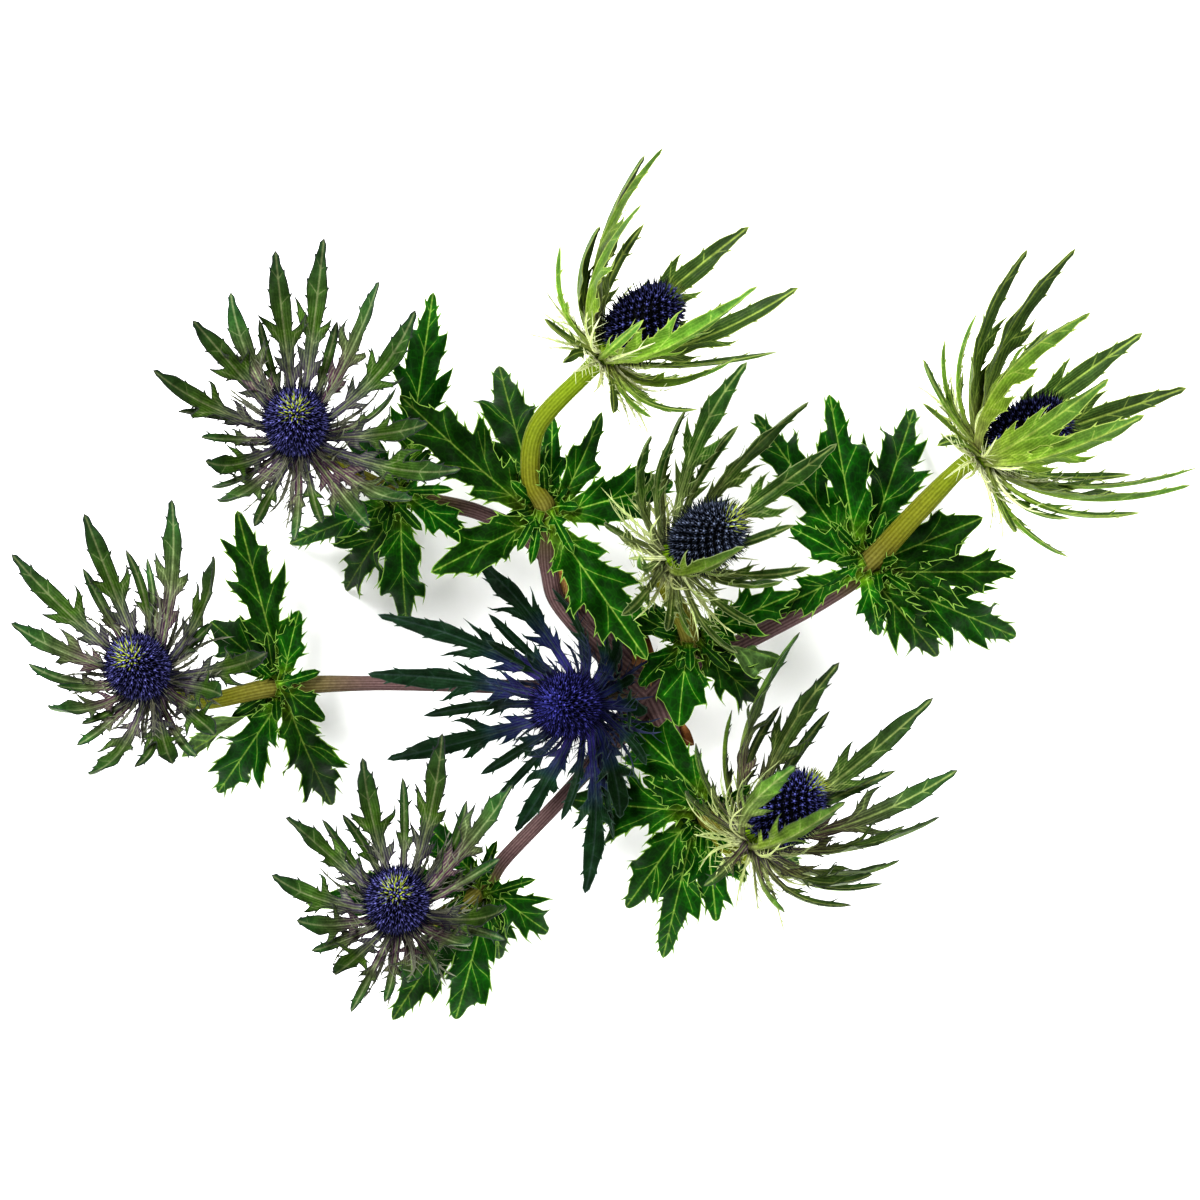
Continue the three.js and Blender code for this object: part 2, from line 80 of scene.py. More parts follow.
def srgb(hex_colour: int) -> tuple[float, float, float, float]:
    """Turn an sRGB hex colour into linear RGBA.

    Args:
        hex_colour: The colour as 0xRRGGBB.

    Returns:
        The linear colour with alpha 1.
    """
    channels = [((hex_colour >> shift) & 255) / 255.0 for shift in (16, 8, 0)]
    linear = [c / 12.92 if c <= 0.04045 else ((c + 0.055) / 1.055) ** 2.4 for c in channels]
    return (*linear, 1.0)


def polar(degrees: float, radius: float, height: float = 0.0) -> Vector:
    """Return the point at an angle, a radius and a height about the Z axis."""
    angle = math.radians(degrees)
    return Vector((radius * math.cos(angle), radius * math.sin(angle), height))


def leaning_frame(origin: Vector, tilt: float, toward: float) -> Matrix:
    """Return the frame at origin of an axis that leans tilt degrees towards the compass angle toward."""
    return Matrix.Translation(origin) @ Matrix.Rotation(math.radians(tilt), 4, polar(toward + 90.0, 1.0))


def scatter(seed: float) -> float:
    """Return a repeatable number between -0.5 and 0.5 for a seed. Odd factors in seeds keep draws apart."""
    wave = math.sin(seed * SCATTER_TURN) * SCATTER_SCALE
    return wave - math.floor(wave) - 0.5


def even_slots(angles: list[float]) -> list[float]:
    """Share a hub's rim evenly, with the slots turned to lie closest to the blades' own angles.

    Args:
        angles: The blades' angles, sorted.

    Returns:
        One slot's angle for each blade.
    """
    step = 360.0 / len(angles)
    turn = sum(angle - i * step for i, angle in enumerate(angles)) / len(angles)
    return [turn + i * step for i in range(len(angles))]


def add_node(tree: Tree, kind: str, settings: Mapping[str, object] | None = None,
             **links: object) -> bpy.types.Node:
    """Add a node, set its properties and fill its inputs.

    Args:
        tree: The node tree.
        kind: The node's type name.
        settings: Property names and their values.
        **links: Input names, with _ for a space, or i and a number for an input's index. Each holds a
            value, or an output socket to link from.

    Returns:
        The new node.
    """
    node = tree.nodes.new(kind)
    for name, value in (settings or {}).items():
        setattr(node, name, value)
    for name, value in links.items():
        key = int(name[1:]) if name[0] == "i" and name[1:].isdigit() else name.replace("_", " ")
        if isinstance(value, Socket):
            tree.links.new(value, node.inputs[key])
        else:
            node.inputs[key].default_value = value
    return node


def start_material(name: str) -> tuple[bpy.types.Material, Tree, bpy.types.Node]:
    """Start a material.

    Args:
        name: Its name.

    Returns:
        The material, its node tree and its shader.
    """
    made = bpy.data.materials.new(name)
    made.use_nodes = True
    return made, made.node_tree, made.node_tree.nodes["Principled BSDF"]


def new_object(name: str, points: Points, edges: Sequence[Sequence[int]], faces: Sequence[Sequence[int]],
               values: Mapping[str, Numbers] | None = None) -> bpy.types.Object:
    """Make a smooth mesh object and link it to the scene.

    Args:
        name: The object's name.
        points: Corner points, one row each.
        edges: Corner indices of each loose edge.
        faces: Corner indices of each face.
        values: Named numbers or vectors, one for each corner.

    Returns:
        The object.
    """
    mesh = bpy.data.meshes.new(name)
    mesh.from_pydata(np.asarray(points).tolist(), edges, faces)
    mesh.shade_smooth()
    for value_name, numbers in (values or {}).items():
        numbers = np.asarray(numbers, dtype=np.float32)
        kind, field = ("FLOAT", "value") if numbers.ndim == 1 else ("FLOAT_VECTOR", "vector")
        mesh.attributes.new(value_name, kind, "POINT").data.foreach_set(field, numbers.ravel())
    built = bpy.data.objects.new(name, mesh)
    bpy.context.scene.collection.objects.link(built)
    return built


def grow(source: bpy.types.Object, tree: Tree, inputs: dict[str, object]) -> None:
    """Run a geometry node tree on an object and keep the result as its plain mesh.

    Args:
        source: The object that holds what the tree starts from.
        tree: The tree.
        inputs: The tree's inputs by name.
    """
    modifier = source.modifiers.new(tree.name, "NODES")
    modifier.node_group = tree
    for item in tree.interface.items_tree:
        if item.in_out == "INPUT" and item.name in inputs:
            modifier[item.identifier] = inputs[item.name]
    evaluated = source.evaluated_get(bpy.context.evaluated_depsgraph_get())
    mesh = bpy.data.meshes.new_from_object(evaluated)
    source.modifiers.clear()
    source.data = mesh


def open_tree(name: str, inputs: dict[str, str]) -> tuple[Tree, dict[str, Socket]]:
    """Start a geometry node tree with named inputs.

    Args:
        name: The tree's name.
        inputs: Each input's name and its kind of socket.

    Returns:
        The tree, and its inputs by name.
    """
    tree = bpy.data.node_groups.new(name, "GeometryNodeTree")
    tree.interface.new_socket("Geometry", in_out="OUTPUT", socket_type="NodeSocketGeometry")
    for input_name, kind in {"Geometry": "Geometry", **inputs}.items():
        tree.interface.new_socket(input_name, in_out="INPUT", socket_type=f"NodeSocket{kind}")
    given = tree.nodes.new("NodeGroupInput")
    return tree, {name: given.outputs[name] for name in ("Geometry", *inputs)}


def close_tree(tree: Tree, shape: Socket, material: Socket) -> None:
    """End a geometry node tree with a real mesh in its material.

    Args:
        tree: The tree.
        shape: What it has made.
        material: The tree's material input.
    """
    real = add_node(tree, "GeometryNodeRealizeInstances", i0=shape)
    smooth = add_node(tree, "GeometryNodeSetShadeSmooth", i0=real.outputs[0])
    dressed = add_node(tree, "GeometryNodeSetMaterial", i0=smooth.outputs[0], Material=material)
    add_node(tree, "NodeGroupOutput", Geometry=dressed.outputs[0])


def seat_piece(piece: bpy.types.Object, slot: str, *nodes: str) -> None:
    """Hand a finished piece to the frame.

    Args:
        piece: The piece.
        slot: A material slot's name; not used.
        *nodes: The CAD nodes that it stands for.
    """
    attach(piece, BODY)
    if nodes:
        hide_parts(*nodes)
    LOG.info("%s: %d faces", piece.name, len(piece.data.polygons))


# ---------------------------------------------------------------- finishes


@dataclass(frozen=True)
class BladeFinish:
    """Living leaf tissue under a thin cuticle: satin, net-veined, paler below, with a lined margin.

    The cuticle gives a soft sheen, and the veins and the mottling keep the green from looking painted. A
    highlight is painted along the veins, with painted shade between them.
    Colours run from the root over the lower third and the middle to the tip.
    """

    name: str
    top: tuple[int, int, int, int]
    under: tuple[int, int, int, int]
    vein: int
    margin: int
    vein_strength: float = 0.55
    margin_strength: float = 0.6
    vein_width: float = 0.1  # mm, from the middle of a vein to where it starts to fade
    midrib_width: float = 0.2  # mm
    margin_width: float = 0.14  # mm
    stripe_gap: float = 0.75  # mm between the parallel veins at the root
    stripe_strength: float = 0.6
    stripe_reach: float = 0.8  # share of the length at which the parallel veins have faded
    stripe_drift: float = 9.0  # radians that the parallel veins wander
    vein_highlight: float = 0.3  # how much paler a painted highlight makes the tissue along its veins
    vein_highlight_width: float = 1.6  # mm, over which the painted highlight fades from a vein
    flush: int = 0x6A3A5A  # the colour that some blades turn from the root up
    flush_strength: float = 0.0
    hue_spread: float = 0.025  # how far the blades' hues differ, as a share of the colour circle
    darkest: float = 0.18  # how much of its colour the darkest patch of tissue keeps
    palest: float = 0.42
    roughness: float = 0.42
    mottle_size: float = 5.0  # mm across a patch of darker or paler tissue
    cell_size: float = 1.4  # mm between the smallest veins, drawn coarse enough to show
    net_strength: float = 0.2  # how much paler they are than the tissue between them

    STOPS = (0.03, 0.26, 0.5, 1.0)  # shares of the length at which the four colours stand
    PATCHES = (0.3, 0.7)  # values of the mottling in the darkest and in the palest patches
    STRIPES_FADE = 0.1  # share of the length at which the parallel veins start to fade
    STRIPE_LIGHT = 0.6  # how much the parallel veins brighten and darken the tissue
    TONE_LIGHT = 0.7  # how much the blades differ in brightness
    FLUSH_TONE = 0.3  # the tone from which a blade flushes fully
    FLUSH_END = (0.25, 0.8)  # shares of the length between which the flush fades
    LINE_END = 2.2  # widths from its middle at which a vein or the margin has faded
    GLOW_LOSS, NET_LOSS = 0.5, 0.2  # how much darker the tissue is away from veins: as painted shade between the veins, and inside the nets
    MOTTLE_DETAIL, MOTTLE_ROUGHNESS = 6.0, 0.62  # they fray the patches' edges
    NET_WIDTH = 0.14  # of the smallest veins, as a share of a cell
    SLOPE_WIDTH = 0.25  # of the slope from a smallest vein up into its cell, as a share of the cell
    RELIEF, BUMP_STRENGTH = 0.25, 0.25  # mm, and a share
    SHINE = 0.05  # specular level, low under a dull wax

    def _tissue(self, tree: Tree, share: Socket, under: Socket, tone: Socket) -> Socket:
        """Colour the blade's two faces from root to tip, and flush some blades from the root up.

        Args:
            tree: The finish's node tree.
            share: How far along the blade a point is.
            under: 1 on the lower face.
            tone: The blade's own number between -0.5 and 0.5.

        Returns:
            The colour.
        """
        faces = []
        for colours in (self.top, self.under):
            ramp = add_node(tree, "ShaderNodeValToRGB", Fac=share)
            elements = ramp.color_ramp.elements
            elements.remove(elements[1])
            elements[0].position = self.STOPS[0]
            elements[0].color = srgb(colours[0])
            for position, colour in zip(self.STOPS[1:], colours[1:]):
                elements.new(position).color = srgb(colour)
            faces.append(ramp.outputs["Color"])
        face = add_node(tree, "ShaderNodeMix", COLOURS, Factor=under, i6=faces[0], i7=faces[1])
        turned = add_node(tree, "ShaderNodeMapRange", Value=tone, From_Min=0.0, From_Max=self.FLUSH_TONE,
                          To_Min=0.0, To_Max=self.flush_strength)
        lower = add_node(tree, "ShaderNodeMapRange", Value=share, From_Min=self.FLUSH_END[0],
                         From_Max=self.FLUSH_END[1], To_Min=1.0, To_Max=0.0)
        flushed = add_node(tree, "ShaderNodeMath", MULTIPLY, i0=turned.outputs[0], i1=lower.outputs[0])
        return add_node(tree, "ShaderNodeMix", COLOURS, Factor=flushed.outputs[0], i6=face.outputs[2],
                        i7=srgb(self.flush)).outputs[2]

    def _stripes(self, tree: Tree, share: Socket, across: Socket, mottle: Socket) -> Socket:
        """Run wandering parallel veins up from the root.

        Args:
            tree: The finish's node tree.
            share: How far along the blade a point is.
            across: How far it is from the midrib.
            mottle: What makes the veins wander.

        Returns:
            How strong they are, below zero in the furrows between them.
        """
        drift = add_node(tree, "ShaderNodeMath", MULTIPLY, i0=mottle, i1=self.stripe_drift)
        turns = add_node(tree, "ShaderNodeMath", MULTIPLY_ADD, i0=across, i1=2 * math.pi / self.stripe_gap,
                         i2=drift.outputs[0])
        wave = add_node(tree, "ShaderNodeMath", COSINE, i0=turns.outputs[0])
        near_root = add_node(tree, "ShaderNodeMapRange", Value=share, From_Min=self.STRIPES_FADE,
                             From_Max=self.stripe_reach, To_Min=self.stripe_strength, To_Max=0.0)
        return add_node(tree, "ShaderNodeMath", MULTIPLY, i0=wave.outputs[0],
                        i1=near_root.outputs[0]).outputs[0]

    def _lines(self, tree: Tree, across: Socket, edge: Socket, vein: Socket) -> list[Socket]:
        """Draw the veins, the midrib and the margin.

        Args:
            tree: The finish's node tree.
            across: How far a point is from the midrib.
            edge: How far it is from the margin.
            vein: How far it is from the nearest vein.

        Returns:
            How strong each of the three is.
        """
        off_middle = add_node(tree, "ShaderNodeMath", {"operation": "ABSOLUTE"}, i0=across).outputs[0]
        return [
            add_node(tree, "ShaderNodeMapRange", Value=distance, From_Min=width,
                     From_Max=self.LINE_END * width, To_Min=strength, To_Max=0.0).outputs[0]
            for distance, width, strength in ((vein, self.vein_width, self.vein_strength),
                                              (off_middle, self.midrib_width, self.vein_strength),
                                              (edge, self.margin_width, self.margin_strength))
        ]

    @cache
    def material(self) -> bpy.types.Material:
        """Build the finish from the values that each blade carries at its corners.

        Returns:
            The material.
        """
        made, tree, shader = start_material(self.name)
        share, across, edge, vein, under, tone = (
            add_node(tree, "ShaderNodeAttribute", {"attribute_name": name}).outputs["Fac"]
            for name in ("share", "across", "edge", "vein", "under", "tone")
        )
        place = add_node(tree, "ShaderNodeTexCoord").outputs["Object"]
        mottle = add_node(tree, "ShaderNodeTexNoise", Vector=place, Scale=1.0 / (self.mottle_size * MM),
                          Detail=self.MOTTLE_DETAIL, Roughness=self.MOTTLE_ROUGHNESS).outputs["Fac"]
        cells = add_node(tree, "ShaderNodeTexVoronoi", {"feature": "DISTANCE_TO_EDGE"}, Vector=place,
                         Scale=1.0 / (self.cell_size * MM)).outputs["Distance"]
        colour = self._tissue(tree, share, under, tone)
        stripes = self._stripes(tree, share, across, mottle)
        veins, midrib, margin = self._lines(tree, across, edge, vein)
        for line in (veins, midrib, stripes):
            colour = add_node(tree, "ShaderNodeMix", COLOURS, Factor=line, i6=colour,
                              i7=srgb(self.vein)).outputs[2]
        patch = add_node(tree, "ShaderNodeMapRange", Value=mottle, From_Min=self.PATCHES[0],
                         From_Max=self.PATCHES[1], To_Min=self.darkest, To_Max=self.palest)
        blade_tone = add_node(tree, "ShaderNodeMath", MULTIPLY_ADD, i0=tone, i1=self.TONE_LIGHT, i2=1.0)
        furrow = add_node(tree, "ShaderNodeMath", MULTIPLY_ADD, i0=stripes, i1=self.STRIPE_LIGHT, i2=1.0)
        # Painted highlight along the veins, fading into painted shade between them
        vein_highlight = add_node(tree, "ShaderNodeMapRange", Value=vein, From_Min=0.0, From_Max=self.vein_highlight_width,
                        To_Min=1.0 + self.vein_highlight, To_Max=1.0 - self.GLOW_LOSS * self.vein_highlight)
        fine_net = add_node(tree, "ShaderNodeMapRange", Value=cells, From_Min=0.0, From_Max=self.NET_WIDTH,
                            To_Min=1.0 + self.net_strength,
                            To_Max=1.0 - self.NET_LOSS * self.net_strength)
        brightness = patch.outputs[0]
        for light in (blade_tone, furrow, vein_highlight, fine_net):
            brightness = add_node(tree, "ShaderNodeMath", MULTIPLY, i0=brightness,
                                  i1=light.outputs[0]).outputs[0]
        hue = add_node(tree, "ShaderNodeMath", MULTIPLY_ADD, i0=tone, i1=self.hue_spread, i2=0.5)
        toned = add_node(tree, "ShaderNodeHueSaturation", Hue=hue.outputs[0], Value=brightness,
                         Color=colour)
        rimmed = add_node(tree, "ShaderNodeMix", COLOURS, Factor=margin, i6=toned.outputs["Color"],
                          i7=srgb(self.margin))
        tree.links.new(rimmed.outputs[2], shader.inputs["Base Color"])
        relief = add_node(tree, "ShaderNodeMath", {"operation": "MINIMUM"}, i0=cells, i1=self.SLOPE_WIDTH)
        bump = add_node(tree, "ShaderNodeBump", Height=relief.outputs[0], Strength=self.BUMP_STRENGTH,
                        Distance=self.RELIEF * MM)
        tree.links.new(bump.outputs["Normal"], shader.inputs["Normal"])
        shader.inputs["Roughness"].default_value = self.roughness
        shader.inputs["IOR"].default_value = SKIN_IOR
        shader.inputs["Specular IOR Level"].default_value = self.SHINE
        return made


@dataclass(frozen=True)
class FloretFinish:
    """Waxy floret buds with stiff bristles between them: matte, with painted shade in the gaps, pale at the
    tips.
    """

    name: str
    # gap: painted shade, the near-black that the gaps between the florets and the core are coloured
    gap: int
    flank: int
    tip: int
    bristle: int
    crown: int  # the youngest bristles, round the top
    roughness: float = 0.55

    PAINTED_SHADE_END = 0.4  # the reach at which the painted shade between the florets ends
    FLANK_AT = 0.7  # the reach of the bud's flank
    LIGHT, LIGHT_SPREAD = 0.38, 0.34  # how much of its colour a floret keeps, and how much they differ
    SHINE = 0.04  # specular level

    @cache
    def material(self) -> bpy.types.Material:
        """Build the finish from each floret's reach, and from its place on the cone.

        Returns:
            The material.
        """
        made, tree, shader = start_material(self.name)
        reach, bristle, crown, tint = (
            add_node(tree, "ShaderNodeAttribute", {"attribute_name": name}).outputs["Fac"]
            for name in ("reach", "bristle", "crown", "tint")
        )
        # Painted shade: the ramp paints the gaps between the florets near-black, and the core too, which
        # has no reach
        ramp = add_node(tree, "ShaderNodeValToRGB", Fac=reach)
        elements = ramp.color_ramp.elements
        elements[0].color = srgb(self.gap)
        elements[0].position = self.PAINTED_SHADE_END
        elements[1].color = srgb(self.tip)
        elements.new(self.FLANK_AT).color = srgb(self.flank)
        spine = add_node(tree, "ShaderNodeMix", COLOURS, Factor=crown, i6=srgb(self.bristle),
                         i7=srgb(self.crown))
        both = add_node(tree, "ShaderNodeMix", COLOURS, Factor=bristle, i6=ramp.outputs["Color"],
                        i7=spine.outputs[2])
        brightness = add_node(tree, "ShaderNodeMath", MULTIPLY_ADD, i0=tint, i1=self.LIGHT_SPREAD,
                              i2=self.LIGHT)
        toned = add_node(tree, "ShaderNodeHueSaturation", Value=brightness.outputs[0],
                         Color=both.outputs[2])
        tree.links.new(toned.outputs["Color"], shader.inputs["Base Color"])
        shader.inputs["Roughness"].default_value = self.roughness
        shader.inputs["IOR"].default_value = SKIN_IOR
        shader.inputs["Specular IOR Level"].default_value = self.SHINE
        return made


@dataclass(frozen=True)
class StalkFinish:
    """A ribbed green stalk that has gone purple-brown in the sun, and is still green under its head.

    The furrows are darker than the ridges, which gives the long stripes: partly the stalk's own stripes and
    partly painted shade in the furrows.
    """

    name: str = "ribbed_stalk"
    old: tuple[int, int] = (0x5C4646, 0x8A706E)  # in a furrow, darker partly as painted shade, and on a ridge
    turning: tuple[int, int] = (0x6C6A14, 0x8A8A2E)
    young: tuple[int, int] = (0x7CA412, 0x9CC428)
    pith: int = 0xD9CFA8
    fibre_size: float = 0.8  # mm between fibres, drawn coarse enough to show
    roughness: float = 0.48

    TURNED = 0.5  # how fresh a stalk is where it has its turning colours
    FIBRE_DETAIL = 2.0
    FIBRES = (0.25, 0.75)  # values of the noise in the darkest and in the palest fibres
    LIGHT = (0.31, 0.48)  # how much of its colour the stalk keeps there
    CUT_HEIGHT = 0.3  # mm above the floor, below which the stub shows its cut end
    RELIEF, BUMP_STRENGTH = 0.15, 0.3  # mm, and a share
    SHINE = 0.05  # specular level

    def material(self) -> bpy.types.Material:
        """Build the finish from the stalk's fresh and ridge values.

        Returns:
            The material.
        """
        made, tree, shader = start_material(self.name)
        fresh, ridge = (
            add_node(tree, "ShaderNodeAttribute", {"attribute_name": name}).outputs["Fac"]
            for name in ("fresh", "ridge")
        )
        # Each age's colour is darker in the furrows: the stalk's own stripes together with painted shade
        colour, turning, young = (
            add_node(tree, "ShaderNodeMix", COLOURS, Factor=ridge, i6=srgb(furrow),
                     i7=srgb(top)).outputs[2]
            for furrow, top in (self.old, self.turning, self.young)
        )
        for start, end, age in ((0.0, self.TURNED, turning), (self.TURNED, 1.0, young)):
            part = add_node(tree, "ShaderNodeMapRange", Value=fresh, From_Min=start, From_Max=end)
            colour = add_node(tree, "ShaderNodeMix", COLOURS, Factor=part.outputs[0], i6=colour,
                              i7=age).outputs[2]
        place = add_node(tree, "ShaderNodeTexCoord").outputs["Object"]
        fibres = add_node(tree, "ShaderNodeTexNoise", Vector=place, Scale=1.0 / (self.fibre_size * MM),
                          Detail=self.FIBRE_DETAIL).outputs["Fac"]
        brightness = add_node(tree, "ShaderNodeMapRange", Value=fibres, From_Min=self.FIBRES[0],
                              From_Max=self.FIBRES[1], To_Min=self.LIGHT[0], To_Max=self.LIGHT[1])
        toned = add_node(tree, "ShaderNodeHueSaturation", Value=brightness.outputs[0], Color=colour)
        height = add_node(tree, "ShaderNodeSeparateXYZ", Vector=place).outputs["Z"]
        cut = add_node(tree, "ShaderNodeMath", {"operation": "LESS_THAN"}, i0=height,
                       i1=self.CUT_HEIGHT * MM)
        ended = add_node(tree, "ShaderNodeMix", COLOURS, Factor=cut.outputs[0],
                         i6=toned.outputs["Color"], i7=srgb(self.pith))
        tree.links.new(ended.outputs[2], shader.inputs["Base Color"])
        bump = add_node(tree, "ShaderNodeBump", Height=fibres, Strength=self.BUMP_STRENGTH,
                        Distance=self.RELIEF * MM)
        tree.links.new(bump.outputs["Normal"], shader.inputs["Normal"])
        shader.inputs["Roughness"].default_value = self.roughness
        shader.inputs["IOR"].default_value = SKIN_IOR
        shader.inputs["Specular IOR Level"].default_value = self.SHINE
        return made


@dataclass(frozen=True)
class CardFinish:
    """Matt white card, the sheet that the crown lies on. Its fibres break up the flat white up close."""

    name: str = "white_card"
    colour: int = 0xFAFAFA
    roughness: float = 0.95
    fibre_size: float = 2.0  # mm
    relief: float = 0.1  # mm
    bump_strength: float = 0.05

    def material(self) -> bpy.types.Material:
        """Build the card's finish.

        Returns:
            The material.
        """
        made, tree, shader = start_material(self.name)
        shader.inputs["Base Color"].default_value = srgb(self.colour)
        shader.inputs["Roughness"].default_value = self.roughness
        place = add_node(tree, "ShaderNodeTexCoord").outputs["Object"]
        fibres = add_node(tree, "ShaderNodeTexNoise", Vector=place, Scale=1.0 / (self.fibre_size * MM))
        bump = add_node(tree, "ShaderNodeBump", Height=fibres.outputs["Fac"], Strength=self.bump_strength,
                        Distance=self.relief * MM)
        tree.links.new(bump.outputs["Normal"], shader.inputs["Normal"])
        return made


LEAF_FINISH = BladeFinish(
    name="sea_holly_leaf",
    top=(0x749A16, 0x206A04, 0x165E00, 0x266C08),
    under=(0xA9B878, 0x84A25C, 0x769C54, 0x66924A),
    vein=0x98BC50,
    margin=0x7E9E48,
    midrib_width=0.16,
    vein_width=0.08,
    margin_width=0.13,
    margin_strength=0.6,
    stripe_strength=0.06,
    vein_highlight=0.6,
    cell_size=2.3,
    net_strength=0.45,
    hue_spread=0.015,
    darkest=0.11,
    palest=0.27,
    roughness=0.55,
)
DRY_FINISH = BladeFinish(
    name="dried_leaf_sheath",
    top=(0xD2A66E, 0xC4935A, 0xB07C42, 0x84592F),
    under=(0xD8B27C, 0xC89C66, 0xB48650, 0x8C6238),
    vein=0xC9AE86,
    margin=0x46301C,
    darkest=0.3,
    palest=0.6,
    roughness=0.7,
)


def half_ripe_comb(name: str) -> BladeFinish:
    """Return the finish of the comb bracts on a head that is turning from lime.

    Args:
        name: The finish's name.

    Returns:
        The finish.
    """
    return BladeFinish(name, (0xEAECC0, 0xC4D07C, 0x9CB452, 0x749044),
                       (0xEEF0C8, 0xCCD888, 0xA4BC5C, 0x7C9A4C), 0xDCE4A8, 0xA4AC78,
                       darkest=0.28, palest=0.54)


class HeadColour(Enum):
    """How far a head has coloured: the finishes of its bracts, of its comb bracts and of its florets.

    A blade's colours are its upper face, its lower face, its veins and its margin. A floret's are the
    painted shade in the gap beside it, its flank, its tip, its bristles, and the bristles at the crown.
    """

    BLUE_GREY = (
        BladeFinish("ripening_bract", (0x8A80B0, 0x64586E, 0x4A741E, 0x385C38),
                    (0xB4B890, 0x8F9E62, 0x748C50, 0x567440), 0x8E9C6C, 0x241E2A,
                    margin_width=0.2, flush_strength=0.75, darkest=0.15, palest=0.42),
        BladeFinish("ripening_comb", (0xB4B48E, 0x6E6C62, 0x4C5446, 0x3A443C),
                    (0xCED4A4, 0xA6B27C, 0x86966A, 0x667654), 0x8E8E7C, 0x6E7060,
                    darkest=0.26, palest=0.56),
        FloretFinish("blue_floret", 0x040510, 0x181A48, 0x8C8CE0, 0x0C0E2A, 0xC6D654),
    )
    LIME = (
        BladeFinish("young_bract", (0xC6CE74, 0x6A8838, 0x4B6E28, 0x48603A),
                    (0xD4E088, 0x9CC440, 0x7CAC34, 0x5E9040), 0xB4CC62, 0x88964C, stripe_strength=0.35,
                    stripe_reach=0.95, darkest=0.19, palest=0.37),
        BladeFinish("young_comb", (0xF0F2C4, 0xD4DE84, 0xB0C65C, 0x8AA050),
                    (0xF2F4CC, 0xDCE690, 0xB8CE66, 0x94AC58), 0xE6ECB4, 0xBEC2A0,
                    darkest=0.34, palest=0.62),
        FloretFinish("young_floret", 0x04050A, 0x16183A, 0x7478C4, 0x0A0C20, 0x6E8430),
    )
    SHADED = (
        BladeFinish("shaded_bract", (0xA0A67C, 0x66783C, 0x466E20, 0x365E2A),
                    (0xD2DA92, 0xA0C244, 0x84AC34, 0x62923C), 0xA2B46A, 0x6E7850,
                    darkest=0.12, palest=0.34),
        half_ripe_comb("shaded_comb"),
        FloretFinish("grey_floret", 0x050608, 0x1C2230, 0x8E9AB8, 0x161E2A, 0xBCCC5C),
    )
    OLIVE = (
        BladeFinish("olive_bract", (0x9A8CA4, 0x6C6250, 0x4A6A28, 0x3C5C30),
                    (0xCCD48C, 0x98B840, 0x7CA234, 0x5C883A), 0x9CAC66, 0x28262A,
                    margin_width=0.16, margin_strength=0.5, flush_strength=0.6, darkest=0.14,
                    palest=0.4),
        half_ripe_comb("olive_comb"),
        FloretFinish("slate_floret", 0x04050E, 0x181C48, 0x8084DC, 0x0C0E2A, 0xAABC48),
    )
    INDIGO = (
        BladeFinish("indigo_bract", (0x5A4CC8, 0x2E2A70, 0x183C1A, 0x203C24),
                    (0x5A56A8, 0x3A3C68, 0x2E4330, 0x35473A), 0x3D5048, 0x2A3830, vein_strength=0.4,
                    darkest=0.12, palest=0.32),
        BladeFinish("indigo_comb", (0x4A44A0, 0x33335E, 0x2A3C34, 0x2C3E34),
                    (0x5A56A8, 0x40406A, 0x36483E, 0x3A4A40), 0x4A4A80, 0x2E3446,
                    darkest=0.14, palest=0.34),
        FloretFinish("indigo_floret", 0x04041A, 0x141340, 0x6666CC, 0x0C0C30, 0x3A3C8A),
    )


# ---------------------------------------------------------------- blades


class Knot(Enum):
    """What a margin does at one of its points."""

    EDGE = "edge"
    SPINE = "spine"


@dataclass(frozen=True)
class BladeForm:
    """The margin of one half of a blade, from its root to the spine at its tip.

    Lengths are in mm. margin holds (share of the length, half width, knot), and teeth stand along it.
    """

    margin: tuple[tuple[float, float, Knot], ...]
    tooth_gap: float
    tooth_out: float
    tooth_on: float  # how far a tooth's point is carried towards the tip
    tooth_base: float
    needle: float  # length of the thin spine that ends a lobe
    vein_slope: float  # along over across, for the veins that leave the midrib
    grain: float = 1.7  # spacing of the points inside the margin
    wave: float = 0.7  # how far the margin rises and falls
    sway: float = 16.0  # degrees that it may bend sideways
    bulge: float = 0.12  # how far an edge bows out on its way to a spine, as a share of its length


EDGE, SPINE = Knot.EDGE, Knot.SPINE
BROAD = BladeForm(
    margin=((0, 1.9, EDGE), (0.12, 1.1, EDGE), (0.26, 1.3, EDGE), (0.43, 4.4, SPINE), (0.36, 1.7, EDGE),
            (0.46, 2.2, EDGE), (0.67, 6.4, SPINE), (0.56, 2.2, EDGE), (0.72, 3.1, EDGE), (0.84, 2.4, EDGE),
            (0.93, 1.2, EDGE)),
    tooth_gap=4.6, tooth_out=0.8, tooth_on=1.0, tooth_base=1.0, needle=1.8, vein_slope=2.4,
)
YOUNG = BladeForm(
    margin=((0, 2.4, EDGE), (0.1, 2.2, EDGE), (0.3, 4.4, EDGE), (0.5, 6.6, SPINE), (0.42, 3.8, EDGE),
            (0.5, 3.7, EDGE), (0.72, 6.2, SPINE), (0.62, 3.2, EDGE), (0.75, 3.1, EDGE), (0.86, 2.3, EDGE),
            (0.94, 1.2, EDGE)),
    tooth_gap=5.0, tooth_out=0.8, tooth_on=1.0, tooth_base=1.0, needle=2.0, vein_slope=2.6, wave=0.3,
)
SLIM = BladeForm(
    margin=((0, 1.6, EDGE), (0.2, 0.9, EDGE), (0.4, 1.1, EDGE), (0.6, 3.1, SPINE), (0.52, 1.2, EDGE),
            (0.74, 1.5, EDGE)),
    tooth_gap=5.0, tooth_out=1.3, tooth_on=1.5, tooth_base=0.7, needle=2.2, vein_slope=2.8, wave=0.3,
    sway=30.0, bulge=0.07,
)
COMB = BladeForm(
    margin=((0, 0.8, EDGE), (0.3, 0.4, EDGE), (0.7, 0.3, EDGE)),
    tooth_gap=3.0, tooth_out=2.5, tooth_on=4.6, tooth_base=0.24, needle=5.0, vein_slope=1.0, wave=0.1,
    sway=34.0, bulge=0.0,
)
